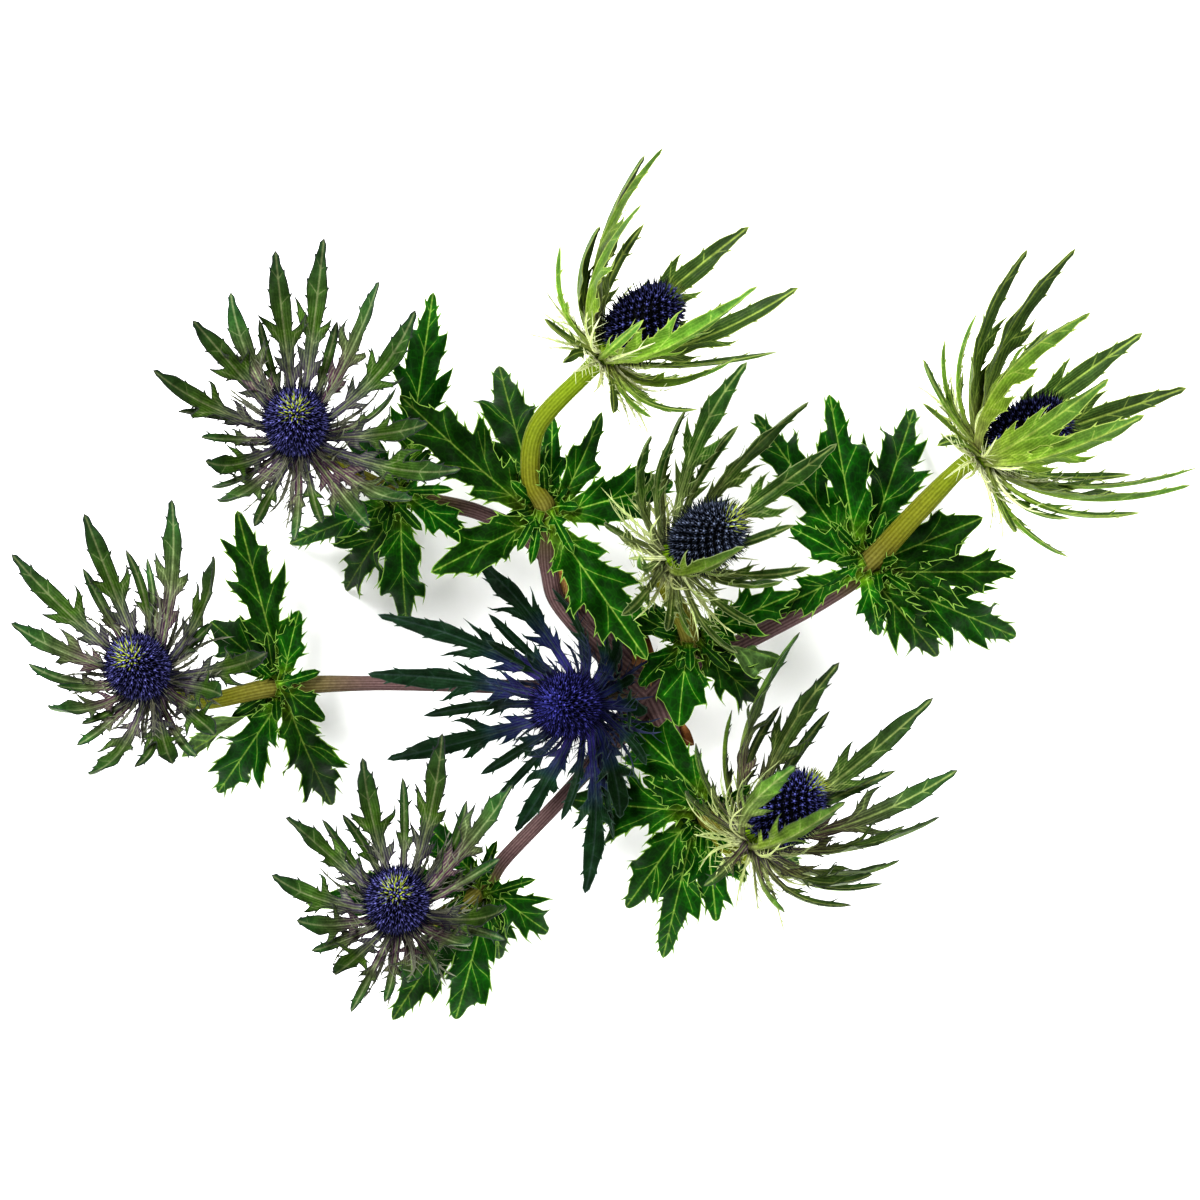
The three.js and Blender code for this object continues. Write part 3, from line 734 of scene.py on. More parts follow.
LOBED = BladeForm(
    margin=((0, 2.6, EDGE), (0.1, 2.2, EDGE), (0.22, 4.0, EDGE), (0.4, 8.6, SPINE), (0.38, 5.2, EDGE),
            (0.46, 6.2, EDGE), (0.67, 12.0, SPINE), (0.6, 5.8, EDGE), (0.7, 5.8, EDGE), (0.84, 8.0, SPINE),
            (0.8, 4.2, EDGE), (0.91, 2.4, EDGE)),
    tooth_gap=3.6, tooth_out=1.3, tooth_on=1.3, tooth_base=1.2, needle=1.4, vein_slope=1.3, wave=1.0,
)
TOOTHED = BladeForm(
    margin=((0, 2.6, EDGE), (0.1, 2.4, EDGE), (0.3, 5.0, EDGE), (0.48, 7.6, SPINE), (0.46, 5.8, EDGE),
            (0.6, 6.6, EDGE), (0.76, 7.4, SPINE), (0.75, 4.8, EDGE), (0.89, 2.8, EDGE)),
    tooth_gap=4.0, tooth_out=1.2, tooth_on=1.2, tooth_base=1.2, needle=1.4, vein_slope=1.5, wave=1.0,
)
NARROW = BladeForm(
    margin=((0, 2.2, EDGE), (0.14, 1.8, EDGE), (0.4, 3.0, EDGE), (0.64, 5.0, SPINE), (0.62, 2.8, EDGE),
            (0.8, 2.2, EDGE)),
    tooth_gap=3.4, tooth_out=1.2, tooth_on=1.2, tooth_base=1.0, needle=1.4, vein_slope=1.5, wave=0.6,
)
LEAFLET = BladeForm(
    margin=((0, 1.4, EDGE), (0.2, 0.9, EDGE), (0.5, 3.4, SPINE), (0.42, 1.2, EDGE), (0.7, 1.7, EDGE)),
    tooth_gap=3.4, tooth_out=1.3, tooth_on=1.4, tooth_base=0.7, needle=1.8, vein_slope=1.6, wave=0.3,
)
SHEATH = BladeForm(
    margin=((0, 3.6, EDGE), (0.3, 4.2, EDGE), (0.7, 2.8, EDGE)),
    tooth_gap=9.0, tooth_out=0.3, tooth_on=0.3, tooth_base=0.4, needle=1.0, vein_slope=3.0, wave=0.8,
)


def distances(points: np.ndarray, starts: np.ndarray, ends: np.ndarray) -> np.ndarray:
    """Return each point's distance from the nearest of some segments.

    Args:
        points: Flat points, one row each.
        starts: Where each segment starts.
        ends: Where it ends.

    Returns:
        One distance for each point.
    """
    run = ends - starts
    to_point = points[:, None, :] - starts[None, :, :]
    share = np.clip((to_point * run).sum(2) / np.maximum((run * run).sum(1), TINY), 0.0, 1.0)
    return np.linalg.norm(to_point - share[..., None] * run, axis=2).min(1)


def inside(points: np.ndarray, outline: np.ndarray) -> np.ndarray:
    """Tell which flat points lie inside a closed outline.

    Args:
        points: The points, one row each.
        outline: The outline's corners.

    Returns:
        True or false for each point.
    """
    ahead = np.roll(outline, -1, axis=0)
    x, y = points[:, None, 0], points[:, None, 1]
    crosses = (outline[:, 1] > y) != (ahead[:, 1] > y)
    rise = np.where(ahead[:, 1] == outline[:, 1], TINY, ahead[:, 1] - outline[:, 1])
    at = outline[:, 0] + (y - outline[:, 1]) / rise * (ahead[:, 0] - outline[:, 0])
    return (crosses & (x < at)).sum(1) % 2 == 1


@dataclass
class Blade:
    """One leaf or bract: a folded sheet that follows a bent spine, with lobes, teeth and veins.

    root, knee and tip bend the spine, up is the side that its upper face turns to, and roll twists it
    by that many degrees on its way to the tip.
    """

    root: Vector
    knee: Vector
    tip: Vector
    up: Vector
    form: BladeForm
    seed: float
    length: float
    roll: float = 0.0
    width: float = 1.0
    fold: float = 20.0
    rib: float = 0.45  # half width of the midrib at the root
    edge_thickness: float = 0.12
    body_thickness: float = 0.42

    # Along the margin, in mm where nothing else is said:
    LOOSE_ALONG, LOOSE_ACROSS = 0.03, 0.24  # how far its points stray, in blade lengths and half widths
    SIDE_SHIFT = 0.05  # how far the right side's lobes stand behind the left's, in blade lengths
    EDGE_BULGE, BAY_BULGE = 0.04, -0.08  # how far an edge bows out, and the bay behind a lobe bows in
    NEEDLE_FRONT, NEEDLE_FOOT = 0.16, 0.42  # how far a needle's foot stands out, and its width
    EDGE_STEP = 1.3  # between the plain points
    EDGE_END = 0.6  # kept free of them before an edge stops
    TANGENT = 0.02  # share of an edge over which its direction is read
    FIRST_TOOTH, LOOSE_TOOTH, LAST_TOOTH = 0.6, 0.5, 0.4  # in tooth gaps: room at an edge's two ends
    TOOTH_FRONT, TOOTH_BEHIND = 0.4, 0.8  # kept free of plain points round a tooth
    TOOTH_BACK, FOOT_LIMIT = 0.3, 0.3  # its back's reach, and the share of its way where its foot may be
    TOOTH_SPREAD = 0.7  # how much the teeth differ in size

    # Along the veins:
    MIDRIB_END, MIDRIB_POINTS = 0.97, 14  # share of the length that it reaches, and its points
    VEIN_FOOT = 0.02  # share of the length below which no vein leaves it
    VEIN_BEND = (0.65, 0.4)  # a vein's bend, as shares of its way along and across
    VEIN_STEP, TWIG_STEP = 1.6, 1.4  # mm between the points of a lobe's vein, and of a tooth's
    TWIG_SLOPE = 0.8  # along over across, below which a tooth's vein doesn't lean

    # Inside the sheet, in mm where nothing else is said:
    RIB_START, RIB_END, RIB_STEP, RIB_TAPER = 0.8, 0.95, 1.5, 0.6  # end and taper are shares
    ROW_HEIGHT = 0.87  # of a row of even triangles, in grains
    MOST_ROWS = 12  # of the grid, each side of the midrib
    INNER_LINE = 0.4  # from the margin to the row of points inside it
    MARGIN_ROOM, VEIN_ROOM = 0.28, 0.3  # kept free of points inside, and of veins
    MISREAD = (0.12, 0.2)  # by how much a side may misread how far its middle is from a line, in turn
    VEIN_FADE = (0.8, 0.6)  # how near the margin a vein starts to fade, and how fast
    WELD = 1e-4  # points closer than this become one
    SHORTEST = 1e-6  # stretch of the outline that still has a direction
    FARTHEST = 4.0  # the largest distance that is told to the finish

    def place(self, flat: np.ndarray, lift: np.ndarray) -> np.ndarray:
        """Bend flat points of the blade into their place on the plant.

        Args:
            flat: Points as (along, across) in mm, one row each.
            lift: How far each is above the middle of the sheet.

        Returns:
            The points in the plant's own layout.
        """
        share = np.clip(flat[:, :1] / self.length, 0.0, 1.0)
        root, knee, tip, up = (np.array(v) for v in (self.root, self.knee, self.tip, self.up))
        spine = (1 - share) ** 2 * root + 2 * share * (1 - share) * knee + share**2 * tip
        along = (1 - share) * (knee - root) + share * (tip - knee)
        along /= np.linalg.norm(along, axis=1, keepdims=True)
        above = up - (along @ up)[:, None] * along
        above /= np.linalg.norm(above, axis=1, keepdims=True)
        turn = math.radians(self.roll) * share
        above = above * np.cos(turn) + np.cross(along, above) * np.sin(turn)
        side = np.cross(above, along)
        across = flat[:, 1:]
        fold = math.radians(self.fold)
        rise = np.abs(across) * math.sin(fold) + lift[:, None]
        return spine + side * across * math.cos(fold) + above * rise

    def margin(self, hand: int) -> tuple[list[Vector], list[Vector], list[Vector]]:
        """Draw one side's margin from root to tip.

        Args:
            hand: 1 for the left side and -1 for the right.

        Returns:
            The margin's flat points, the tips of its lobes and the tips of its teeth.
        """
        form = self.form
        knots = []
        for index, (share, half, knot) in enumerate(form.margin):
            shift = 0.0 if hand > 0 else self.SIDE_SHIFT * math.sin(math.pi * share)
            loose = scatter(self.seed * 7.3 + index * 1.7 + hand) if index else 0.0
            along = (share - shift + self.LOOSE_ALONG * loose) * self.length
            across = hand * half * self.width * (1 + self.LOOSE_ACROSS * loose)
            knots.append((Vector((along, across)), knot))
        end = Vector((self.length, 0.0))
        knots.append((end, SPINE))
        line = [knots[0][0]]
        lobes, teeth = [], []
        shoulder = knots[0][0]
        for index, ((start, _), (goal, knot)) in enumerate(pairwise(knots)):
            run = goal - shoulder
            outward = Vector((-run.y, run.x)).normalized() * hand
            bulge = self.EDGE_BULGE if shoulder is start else self.BAY_BULGE
            if knot is SPINE:
                bulge = form.bulge
            bend = (shoulder + goal) / 2 + outward * run.length * bulge
            stop = goal
            if knot is SPINE:
                stop = goal - (goal - bend).normalized() * form.needle + outward * self.NEEDLE_FRONT
            self._draw_edge(line, teeth, (shoulder, bend, stop), hand, index)
            shoulder = goal
            if knot is SPINE and goal is not end:
                line.append(goal)
                lobes.append(goal)
                shoulder = stop - outward * self.NEEDLE_FOOT
                line.append(shoulder)
        return line, lobes, teeth

    def _draw_edge(self, line: list[Vector], tips: list[Vector], bow: tuple[Vector, Vector, Vector],
                   hand: int, index: int) -> None:
        """Add a bowed edge with its teeth to a margin.

        Args:
            line: The margin so far, which ends at the edge's start.
            tips: The tips of the teeth so far.
            bow: Where the edge starts, what it bows towards and where it stops.
            hand: Which side it is on.
            index: Its place along the margin.
        """
        form = self.form
        start, bend, stop = bow

        def at(t: float) -> Vector:
            """Return the edge's point at a share of its way."""
            return start * (1 - t) ** 2 + bend * (2 * t * (1 - t)) + stop * t**2

        gap = form.tooth_gap
        reach = (stop - start).length
        first = gap * (self.FIRST_TOOTH + self.LOOSE_TOOTH * scatter(self.seed + index * 3.1 + hand))
        runs_back = stop.x < start.x
        teeth = [] if runs_back else list(np.arange(first, reach - self.LAST_TOOTH * gap, gap))
        room = form.tooth_base + self.TOOTH_FRONT
        plain = [mark for mark in np.arange(self.EDGE_STEP, reach - self.EDGE_END, self.EDGE_STEP)
                 if all(mark < tooth - room or mark > tooth + self.TOOTH_BEHIND for tooth in teeth)]
        for mark in sorted(teeth + plain):
            t = mark / reach
            if mark in plain:
                line.append(at(t))
                continue
            on = (at(min(t + self.TANGENT, 1.0)) - at(max(t - self.TANGENT, 0.0))).normalized()
            out = Vector((-on.y, on.x)) * hand
            size = 1.0 + self.TOOTH_SPREAD * scatter(self.seed * 3.7 + mark + hand)
            point = at(t) + out * form.tooth_out * size + on * form.tooth_on * size
            foot = at(max(t - form.tooth_base / reach, t * self.FOOT_LIMIT))
            back = at(min(t + self.TOOTH_BACK / reach, 1.0))
            line.extend((foot, point, back))
            tips.append(point)
        line.append(stop)

    def veins(self, lobes: list[Vector], teeth: list[Vector]) -> list[list[Vector]]:
        """Run the midrib, a vein from it to each lobe, and one from the nearest vein to each tooth.

        Args:
            lobes: The tips of the lobes.
            teeth: The tips of the teeth.

        Returns:
            Each vein's points.
        """
        midrib = np.linspace(0.0, self.length * self.MIDRIB_END, self.MIDRIB_POINTS)
        lines = [[Vector((x, 0.0)) for x in midrib]]
        on, out = self.VEIN_BEND
        for lobe in lobes:
            foot = max(lobe.x - abs(lobe.y) * self.form.vein_slope, self.VEIN_FOOT * self.length)
            start = Vector((foot, 0.0))
            bend = Vector((start.x * (1 - on) + lobe.x * on, lobe.y * out))
            steps = max(3, int((lobe - start).length / self.VEIN_STEP))
            shares = [i / (steps + 1) for i in range(steps + 1)]
            lines.append([start * (1 - t) ** 2 + bend * 2 * t * (1 - t) + lobe * t**2 for t in shares])
        network = [point for line in lines for point in line]
        for tooth in teeth:
            behind = [point for point in network
                      if tooth.x - point.x > self.TWIG_SLOPE * abs(tooth.y - point.y)]
            if behind:
                start = min(behind, key=lambda point: (tooth - point).length)
                steps = max(1, int((tooth - start).length / self.TWIG_STEP))
                lines.append([start.lerp(tooth, i / (steps + 1)) for i in range(steps + 1)])
        return lines

    def _triangles(self, corners: list[Vector], edges: list[tuple[int, int]],
                   outline: np.ndarray) -> tuple[np.ndarray, np.ndarray]:
        """Join flat points into triangles that keep to the outline and follow the veins.

        Args:
            corners: The points, with the outline's first.
            edges: The pairs of points that a vein joins.
            outline: The blade's closed outline.

        Returns:
            The points, with those where veins cross, and the triangles inside the outline.
        """
        loop = [list(range(len(outline)))]
        flat, _, faces, *_ = delaunay_2d_cdt(corners, edges, loop, 0, self.WELD, False)
        flat, faces = np.array(flat), np.array(faces)
        return flat, faces[inside(flat[faces].mean(1), outline)]

    def _filling(self, outline: np.ndarray, ahead: np.ndarray, starts: np.ndarray,
                 stops: np.ndarray) -> np.ndarray:
        """Spread points over the sheet: a row inside the margin, one each side of the midrib, and a grid.

        Args:
            outline: The blade's closed outline.
            ahead: The outline's points, each one on.
            starts: Where each stretch of a vein starts.
            stops: Where it stops.

        Returns:
            The points, none of them too close to the outline.
        """
        ribs = np.array([(x, side * self.rib * (1 - self.RIB_TAPER * x / self.length))
                         for x in np.arange(self.RIB_START, self.length * self.RIB_END, self.RIB_STEP)
                         for side in (-1, 1)])
        grain = self.form.grain
        columns = np.arange(0.5 * grain, self.length, grain * self.ROW_HEIGHT)
        rows = np.arange(-self.MOST_ROWS, self.MOST_ROWS + 1) * grain
        grid = np.array([(x, y + 0.5 * grain * (i % 2)) for i, x in enumerate(columns) for y in rows])
        grid = grid[distances(grid, starts, stops) > 0.5 * grain]
        run = ahead - np.roll(outline, 1, axis=0)
        reach = np.maximum(np.linalg.norm(run, axis=1), self.SHORTEST)[:, None]
        inward = np.stack([-run[:, 1], run[:, 0]], axis=1) / reach
        points = np.concatenate([outline + self.INNER_LINE * inward, ribs, grid])
        return points[inside(points, outline) & (distances(points, outline, ahead) > self.MARGIN_ROOM)]

    def sheet(self) -> tuple[np.ndarray, np.ndarray, dict[str, np.ndarray]]:
        """Cut the blade's flat sheet and measure it.

        Returns:
            Its flat points, its triangles, and what each point carries for the finish.
        """
        (left, *left_tips), (right, *right_tips) = self.margin(1), self.margin(-1)
        outline = np.array([*right, Vector((self.length, 0.0)), *reversed(left)])
        veins = self.veins(left_tips[0] + right_tips[0], left_tips[1] + right_tips[1])
        starts = np.array([a for line in veins for a, _ in pairwise(line)])
        stops = np.array([b for line in veins for _, b in pairwise(line)])
        ahead = np.roll(outline, -1, axis=0)
        corners = [Vector(point) for point in (*outline, *self._filling(outline, ahead, starts, stops))]
        edges = []
        for line in veins:
            points = np.array(line)
            points = points[inside(points, outline) & (distances(points, outline, ahead) > self.VEIN_ROOM)]
            edges += [(len(corners) + i, len(corners) + i + 1) for i in range(len(points) - 1)]
            corners += [Vector(point) for point in points]
        for allowed in self.MISREAD:
            flat, faces = self._triangles(corners, edges, outline)
            sides = np.concatenate([faces[:, [0, 1]], faces[:, [1, 2]], faces[:, [2, 0]]])
            middles = flat[sides].mean(1)
            for line_starts, line_stops in ((starts, stops), (outline, ahead)):
                read = distances(flat, line_starts, line_stops)[sides].mean(1)
                missed = distances(middles, line_starts, line_stops) - read > allowed
                corners += [Vector(point) for point in np.unique(middles[missed], axis=0)]
        flat, faces = self._triangles(corners, edges, outline)
        a, b, c = (flat[faces[:, i]] for i in range(3))
        area = (b[:, 0] - a[:, 0]) * (c[:, 1] - a[:, 1]) - (b[:, 1] - a[:, 1]) * (c[:, 0] - a[:, 0])
        faces[area < 0] = faces[area < 0][:, ::-1]
        edge = distances(flat, outline, ahead)
        fade_from, fade = self.VEIN_FADE
        vein = distances(flat, starts, stops) + fade * np.maximum(fade_from - edge, 0.0)
        values = {
            "share": np.clip(flat[:, 0] / self.length, 0, 1),
            "across": flat[:, 1],
            "edge": np.minimum(edge, self.FARTHEST),
            "vein": np.minimum(vein, self.FARTHEST),
        }
        return flat, faces, values


class BladeCluster:
    """Gathers blades, each a closed shell of its own, into one piece. Sizes are in mm."""

    FULL_BODY = 1.2  # from the margin to where a blade is as thick as its body
    GROOVE_DEPTH, GROOVE_WIDTH = 0.16, 0.5  # over a vein
    KEEL_HEIGHT, KEEL_WIDTH, KEEL_TAPER = 0.75, 2.2, 0.8  # under the midrib: mm, ribs, loss by the tip
    WAVE_PHASE, WAVE_TURN, SIDE_TURN = 6.28, 0.42, 1.4  # radians: in all, along each mm, between the sides
    WAVE_OUT, WAVE_MOST = 3.5, 1.6  # mm out to where the wave has its height, and how far past it grows
    PUFF_HEIGHT, PUFF_OUT, PUFF_BELOW = 0.4, 1.6, 0.6  # between veins: mm, mm from them, and share below
    FULL_SIZE = 34.0  # the length of a blade below which its lines get thinner with it

    def __init__(self) -> None:
        """Start with no blades."""
        self.points: list[np.ndarray] = []
        self.faces: list[list[int]] = []
        self.values: dict[str, list[np.ndarray]] = {}
        self.count = 0

    def add(self, blade: Blade) -> None:
        """Add a blade as a shell that is thick at its midrib and thin at its margin.

        Args:
            blade: The blade.
        """
        flat, faces, values = blade.sheet()
        share, edge, vein = (values[name] for name in ("share", "edge", "vein"))
        across = np.abs(flat[:, 1])
        body = np.clip(edge / self.FULL_BODY, 0.0, 1.0)
        half = (blade.edge_thickness + (blade.body_thickness - blade.edge_thickness) * body) / 2
        groove = self.GROOVE_DEPTH * np.exp(-((vein / self.GROOVE_WIDTH) ** 2)) * body
        keel = self.KEEL_HEIGHT * np.exp(-((across / (self.KEEL_WIDTH * blade.rib)) ** 2)) * body
        keel = keel * (1 - self.KEEL_TAPER * share)
        phase = self.WAVE_PHASE * scatter(blade.seed * 1.9)
        ripple = np.sin(flat[:, 0] * self.WAVE_TURN + phase + self.SIDE_TURN * np.sign(flat[:, 1]))
        wave = blade.form.wave * ripple * np.minimum(across / self.WAVE_OUT, self.WAVE_MOST) ** 2
        puff = self.PUFF_HEIGHT * np.clip(vein / self.PUFF_OUT, 0, 1) * body
        top = blade.place(flat, wave + puff + half - groove)
        under = blade.place(flat, wave + self.PUFF_BELOW * puff - half - groove - keel)
        count = len(flat)
        first = self.count
        edges = np.concatenate([faces[:, [0, 1]], faces[:, [1, 2]], faces[:, [2, 0]]])
        known = {tuple(e) for e in edges.tolist()}
        rim = sorted((a, b) for a, b in known if (b, a) not in known)
        self.faces.extend((faces + first).tolist())
        self.faces.extend((faces[:, ::-1] + first + count).tolist())
        self.faces.extend([first + b, first + a, first + a + count, first + b + count] for a, b in rim)
        points = np.concatenate([top, under])
        points[:, 2] = np.maximum(points[:, 2], FLOOR_CLEARANCE)
        self.points.append(points)
        self.count += 2 * count
        for name in ("across", "edge", "vein"):
            values[name] = values[name] * max(1.0, self.FULL_SIZE / blade.length)
        values["tone"] = np.full(count, scatter(blade.seed * 5.1 + 0.3))
        for name, numbers in values.items():
            self.values.setdefault(name, []).extend([numbers, numbers])
        self.values.setdefault("under", []).extend([np.zeros(count), np.ones(count)])

    def build(self, name: str, material: bpy.types.Material) -> bpy.types.Object:
        """Make the piece.

        Args:
            name: Its name.
            material: Its finish.

        Returns:
            The piece.
        """
        values = {key: np.concatenate(parts) for key, parts in self.values.items()}
        points = (np.concatenate(self.points) - np.array(CROWN_CENTRE)) * MM
        piece = new_object(name, points, [], self.faces, values)
        piece.data.materials.append(material)
        return piece


# ---------------------------------------------------------------- flower heads


@dataclass(frozen=True)
class Spikes:
    """A ring of thin three-sided points round a bud. Foot and splay are in bud radii, the rest in mm."""

    count: int
    first_angle: float
    foot: float  # how far out they start
    splay: float  # how far out they end
    thickness: float
    low: float
    high: float
    bristle: float  # 1 for bristles and 0 for sepals


@dataclass
class FloretCone:
    """The egg-shaped cone: a golden spiral of florets standing out of a core that its finish paints with
    painted shade.
    """

    florets: int = 250
    radius: float = 10.7  # to the tips of the bristles
    length: float = 29.0
    waist: float = 13.0  # height of the widest ring
    foot: float = 0.6  # height of the lowest florets
    core_depth: float = 3.6  # from the tips of the bristles down to the core
    bud: float = 2.7  # length of a bud
    bud_radius: float = 0.56
    bristle: float = 5.4
    bristle_radius: float = 0.34
    smallest: float = 0.86
    largest: float = 1.1

    BUD_SIDES = 6
    BUD_PROFILE = ((0.0, 0.8), (0.5, 1.0), (0.8, 0.75), (1.0, 0.25))  # shares of its length and radius
    SPIKE_FOOT = 0.62  # the reach that the finish is told at a spike's foot
    LOWER_EGG = 1.12  # the skin's lower half is this much longer than the waist is high
    CORE_SIDES, CORE_RINGS, CORE_FOOT = 24, 12, 0.2  # the foot is a share of the lowest florets' height
    CROWD = 0.96  # below 1, it crowds the florets towards the top
    SUNK = 0.9  # share of a bristle's length that lies inside the skin
    UPTURN = 0.15  # how far the florets turn up from the skin
    CROWN_START, CROWN_FADE = 0.92, 0.04  # shares of the florets
    SEEDS = 300  # for each cone

    def __post_init__(self) -> None:
        """Build what all cones share."""
        self.floret = self._floret()
        self.core = self._core()
        self.tree = self._tree()

    def _skin(self, angle: float, height: float) -> tuple[Vector, Vector]:
        """Find a point of the egg's skin.

        Args:
            angle: Its angle round the axis.
            height: Its height.

        Returns:
            The point, and which way the skin faces there.
        """
        half = self.waist * self.LOWER_EGG if height < self.waist else self.length - self.waist
        girth = math.sqrt(max(0.0, 1.0 - ((height - self.waist) / half) ** 2))
        rise = (height - self.waist) / half**2
        facing = polar(angle, girth / self.radius, rise).normalized()
        return polar(angle, self.radius * girth, height), facing

    def _floret(self) -> bpy.types.Object:
        """Build a bud with five sepal points and three bristles round it, in a few dozen faces.

        Returns:
            The floret.
        """
        points, faces, reach, bristle = [], [], [], []
        sides = self.BUD_SIDES
        for level, width in self.BUD_PROFILE:
            for side in range(sides):
                points.append(polar(360 / sides * side, self.bud_radius * width, self.bud * level))
                reach.append(level)
                bristle.append(0.0)
        top = sides * (len(self.BUD_PROFILE) - 1)
        for ring in range(0, top, sides):
            for side in range(sides):
                a, b = ring + side, ring + (side + 1) % sides
                faces.append((a, b, b + sides, a + sides))
        faces.append(tuple(range(top, top + sides)))
        faces.append(tuple(reversed(range(sides))))
        sepals = Spikes(count=5, first_angle=0.0, foot=0.85, splay=1.5, thickness=0.24,
                        low=self.bud * 0.6, high=self.bud * 1.22, bristle=0.0)
        bristles = Spikes(count=3, first_angle=35.0, foot=1.5, splay=1.9, thickness=self.bristle_radius,
                          low=0.0, high=self.bristle, bristle=1.0)
        for ring in (sepals, bristles):
            for index in range(ring.count):
                angle = ring.first_angle + 360 / ring.count * index
                first = len(points)
                centre = polar(angle, self.bud_radius * ring.foot, ring.low)
                points += [centre + polar(angle + 120 * corner, ring.thickness) for corner in range(3)]
                points.append(polar(angle, self.bud_radius * ring.splay, ring.high))
                reach += [self.SPIKE_FOOT] * 3 + [1.0]
                bristle += [ring.bristle] * 4
                faces += [(first + i, first + (i + 1) % 3, first + 3) for i in range(3)]
                faces.append((first + 2, first + 1, first))
        return new_object("floret", points, [], faces, {"reach": reach, "bristle": bristle})

    def _core(self) -> bpy.types.Object:
        """Build the closed egg-shaped core that the florets stand on.

        Returns:
            The core.
        """
        sides, rings = self.CORE_SIDES, self.CORE_RINGS
        points = [Vector((0, 0, self.foot * self.CORE_FOOT))]
        for ring in range(1, rings):
            height = self.foot + (self.length - self.foot) * (1 - math.cos(math.pi * ring / rings)) / 2
            for side in range(sides):
                skin, normal = self._skin(360 * side / sides, height)
                points.append(skin - normal * self.core_depth)
        points.append(Vector((0, 0, self.length - self.core_depth)))
        last = len(points) - 1
        faces = [(0, 1 + (side + 1) % sides, 1 + side) for side in range(sides)]
        for ring in range(rings - 2):
            for side in range(sides):
                a, b = 1 + ring * sides + side, 1 + ring * sides + (side + 1) % sides
                faces.append((a, b, b + sides, a + sides))
        faces += [(last - sides + side, last - sides + (side + 1) % sides, last) for side in range(sides)]
        return new_object("core", points, [], faces)

    def _tree(self) -> Tree:
        """Build the tree that stands a floret on each seat, facing the way that the seat says.

        Returns:
            The tree.
        """
        tree, given = open_tree("floret_cone", {
            "Floret": "Object", "Core": "Object", "Smallest": "Float", "Largest": "Float", "Seed": "Int",
            "Material": "Material",
        })
        facing = add_node(tree, "GeometryNodeInputNamedAttribute", {"data_type": "FLOAT_VECTOR"},
                          Name="facing")
        spin = add_node(tree, "FunctionNodeRandomValue", NUMBERS, i2=0.0, i3=2 * math.pi,
                        Seed=given["Seed"])
        spun = add_node(tree, "ShaderNodeCombineXYZ", Z=spin.outputs[1])
        turned = add_node(tree, "FunctionNodeEulerToRotation", Euler=spun.outputs[0])
        upright = add_node(tree, "FunctionNodeAlignRotationToVector", {"axis": "Z"},
                           Rotation=turned.outputs[0], Vector=facing.outputs[0])
        sizes = add_node(tree, "FunctionNodeRandomValue", NUMBERS, i2=given["Smallest"],
                         i3=given["Largest"], Seed=given["Seed"])
        floret, core = (add_node(tree, "GeometryNodeObjectInfo", Object=given[name]).outputs["Geometry"]
                        for name in ("Floret", "Core"))
        florets = add_node(tree, "GeometryNodeInstanceOnPoints", Points=given["Geometry"], Instance=floret,
                           Rotation=upright.outputs[0], Scale=sizes.outputs[1])
        whole = add_node(tree, "GeometryNodeJoinGeometry")
        for part in (core, florets.outputs[0]):
            tree.links.new(part, whole.inputs[0])
        close_tree(tree, whole.outputs[0], given["Material"])
        return tree

    def build(self, name: str, head: Matrix, seed: int, material: bpy.types.Material) -> bpy.types.Object:
        """Grow a cone on its head.

        Args:
            name: The piece's name.
            head: The head's own frame on the plant.
            seed: What sets the florets' small differences.
            material: Its finish.

        Returns:
            The piece.
        """
        seats, facings, crowns, tints = [], [], [], []
        for index in range(self.florets):
            share = ((index + 0.5) / self.florets) ** self.CROWD
            skin, normal = self._skin(index * GOLDEN_ANGLE, self.foot + (self.length - self.foot) * share)
            seats.append(skin - normal * self.bristle * self.SUNK)
            facings.append((normal + Vector((0, 0, self.UPTURN))).normalized())
            crowns.append(min(1.0, max(0.0, (share - self.CROWN_START) / self.CROWN_FADE)))
            tints.append(scatter(seed * self.SEEDS + index))
        values = {"facing": np.array(facings), "crown": crowns, "tint": tints}
        piece = new_object(name, seats, [], [], values)
        grow(piece, self.tree, {"Floret": self.floret, "Core": self.core, "Smallest": self.smallest,
                                "Largest": self.largest, "Seed": seed, "Material": material})
        piece.data.transform(TO_SCENE @ head)
        return piece

    def clear_away(self) -> None:
        """Remove the floret and the core that the cones were grown from."""
        for part in (self.floret, self.core):
            bpy.data.objects.remove(part)


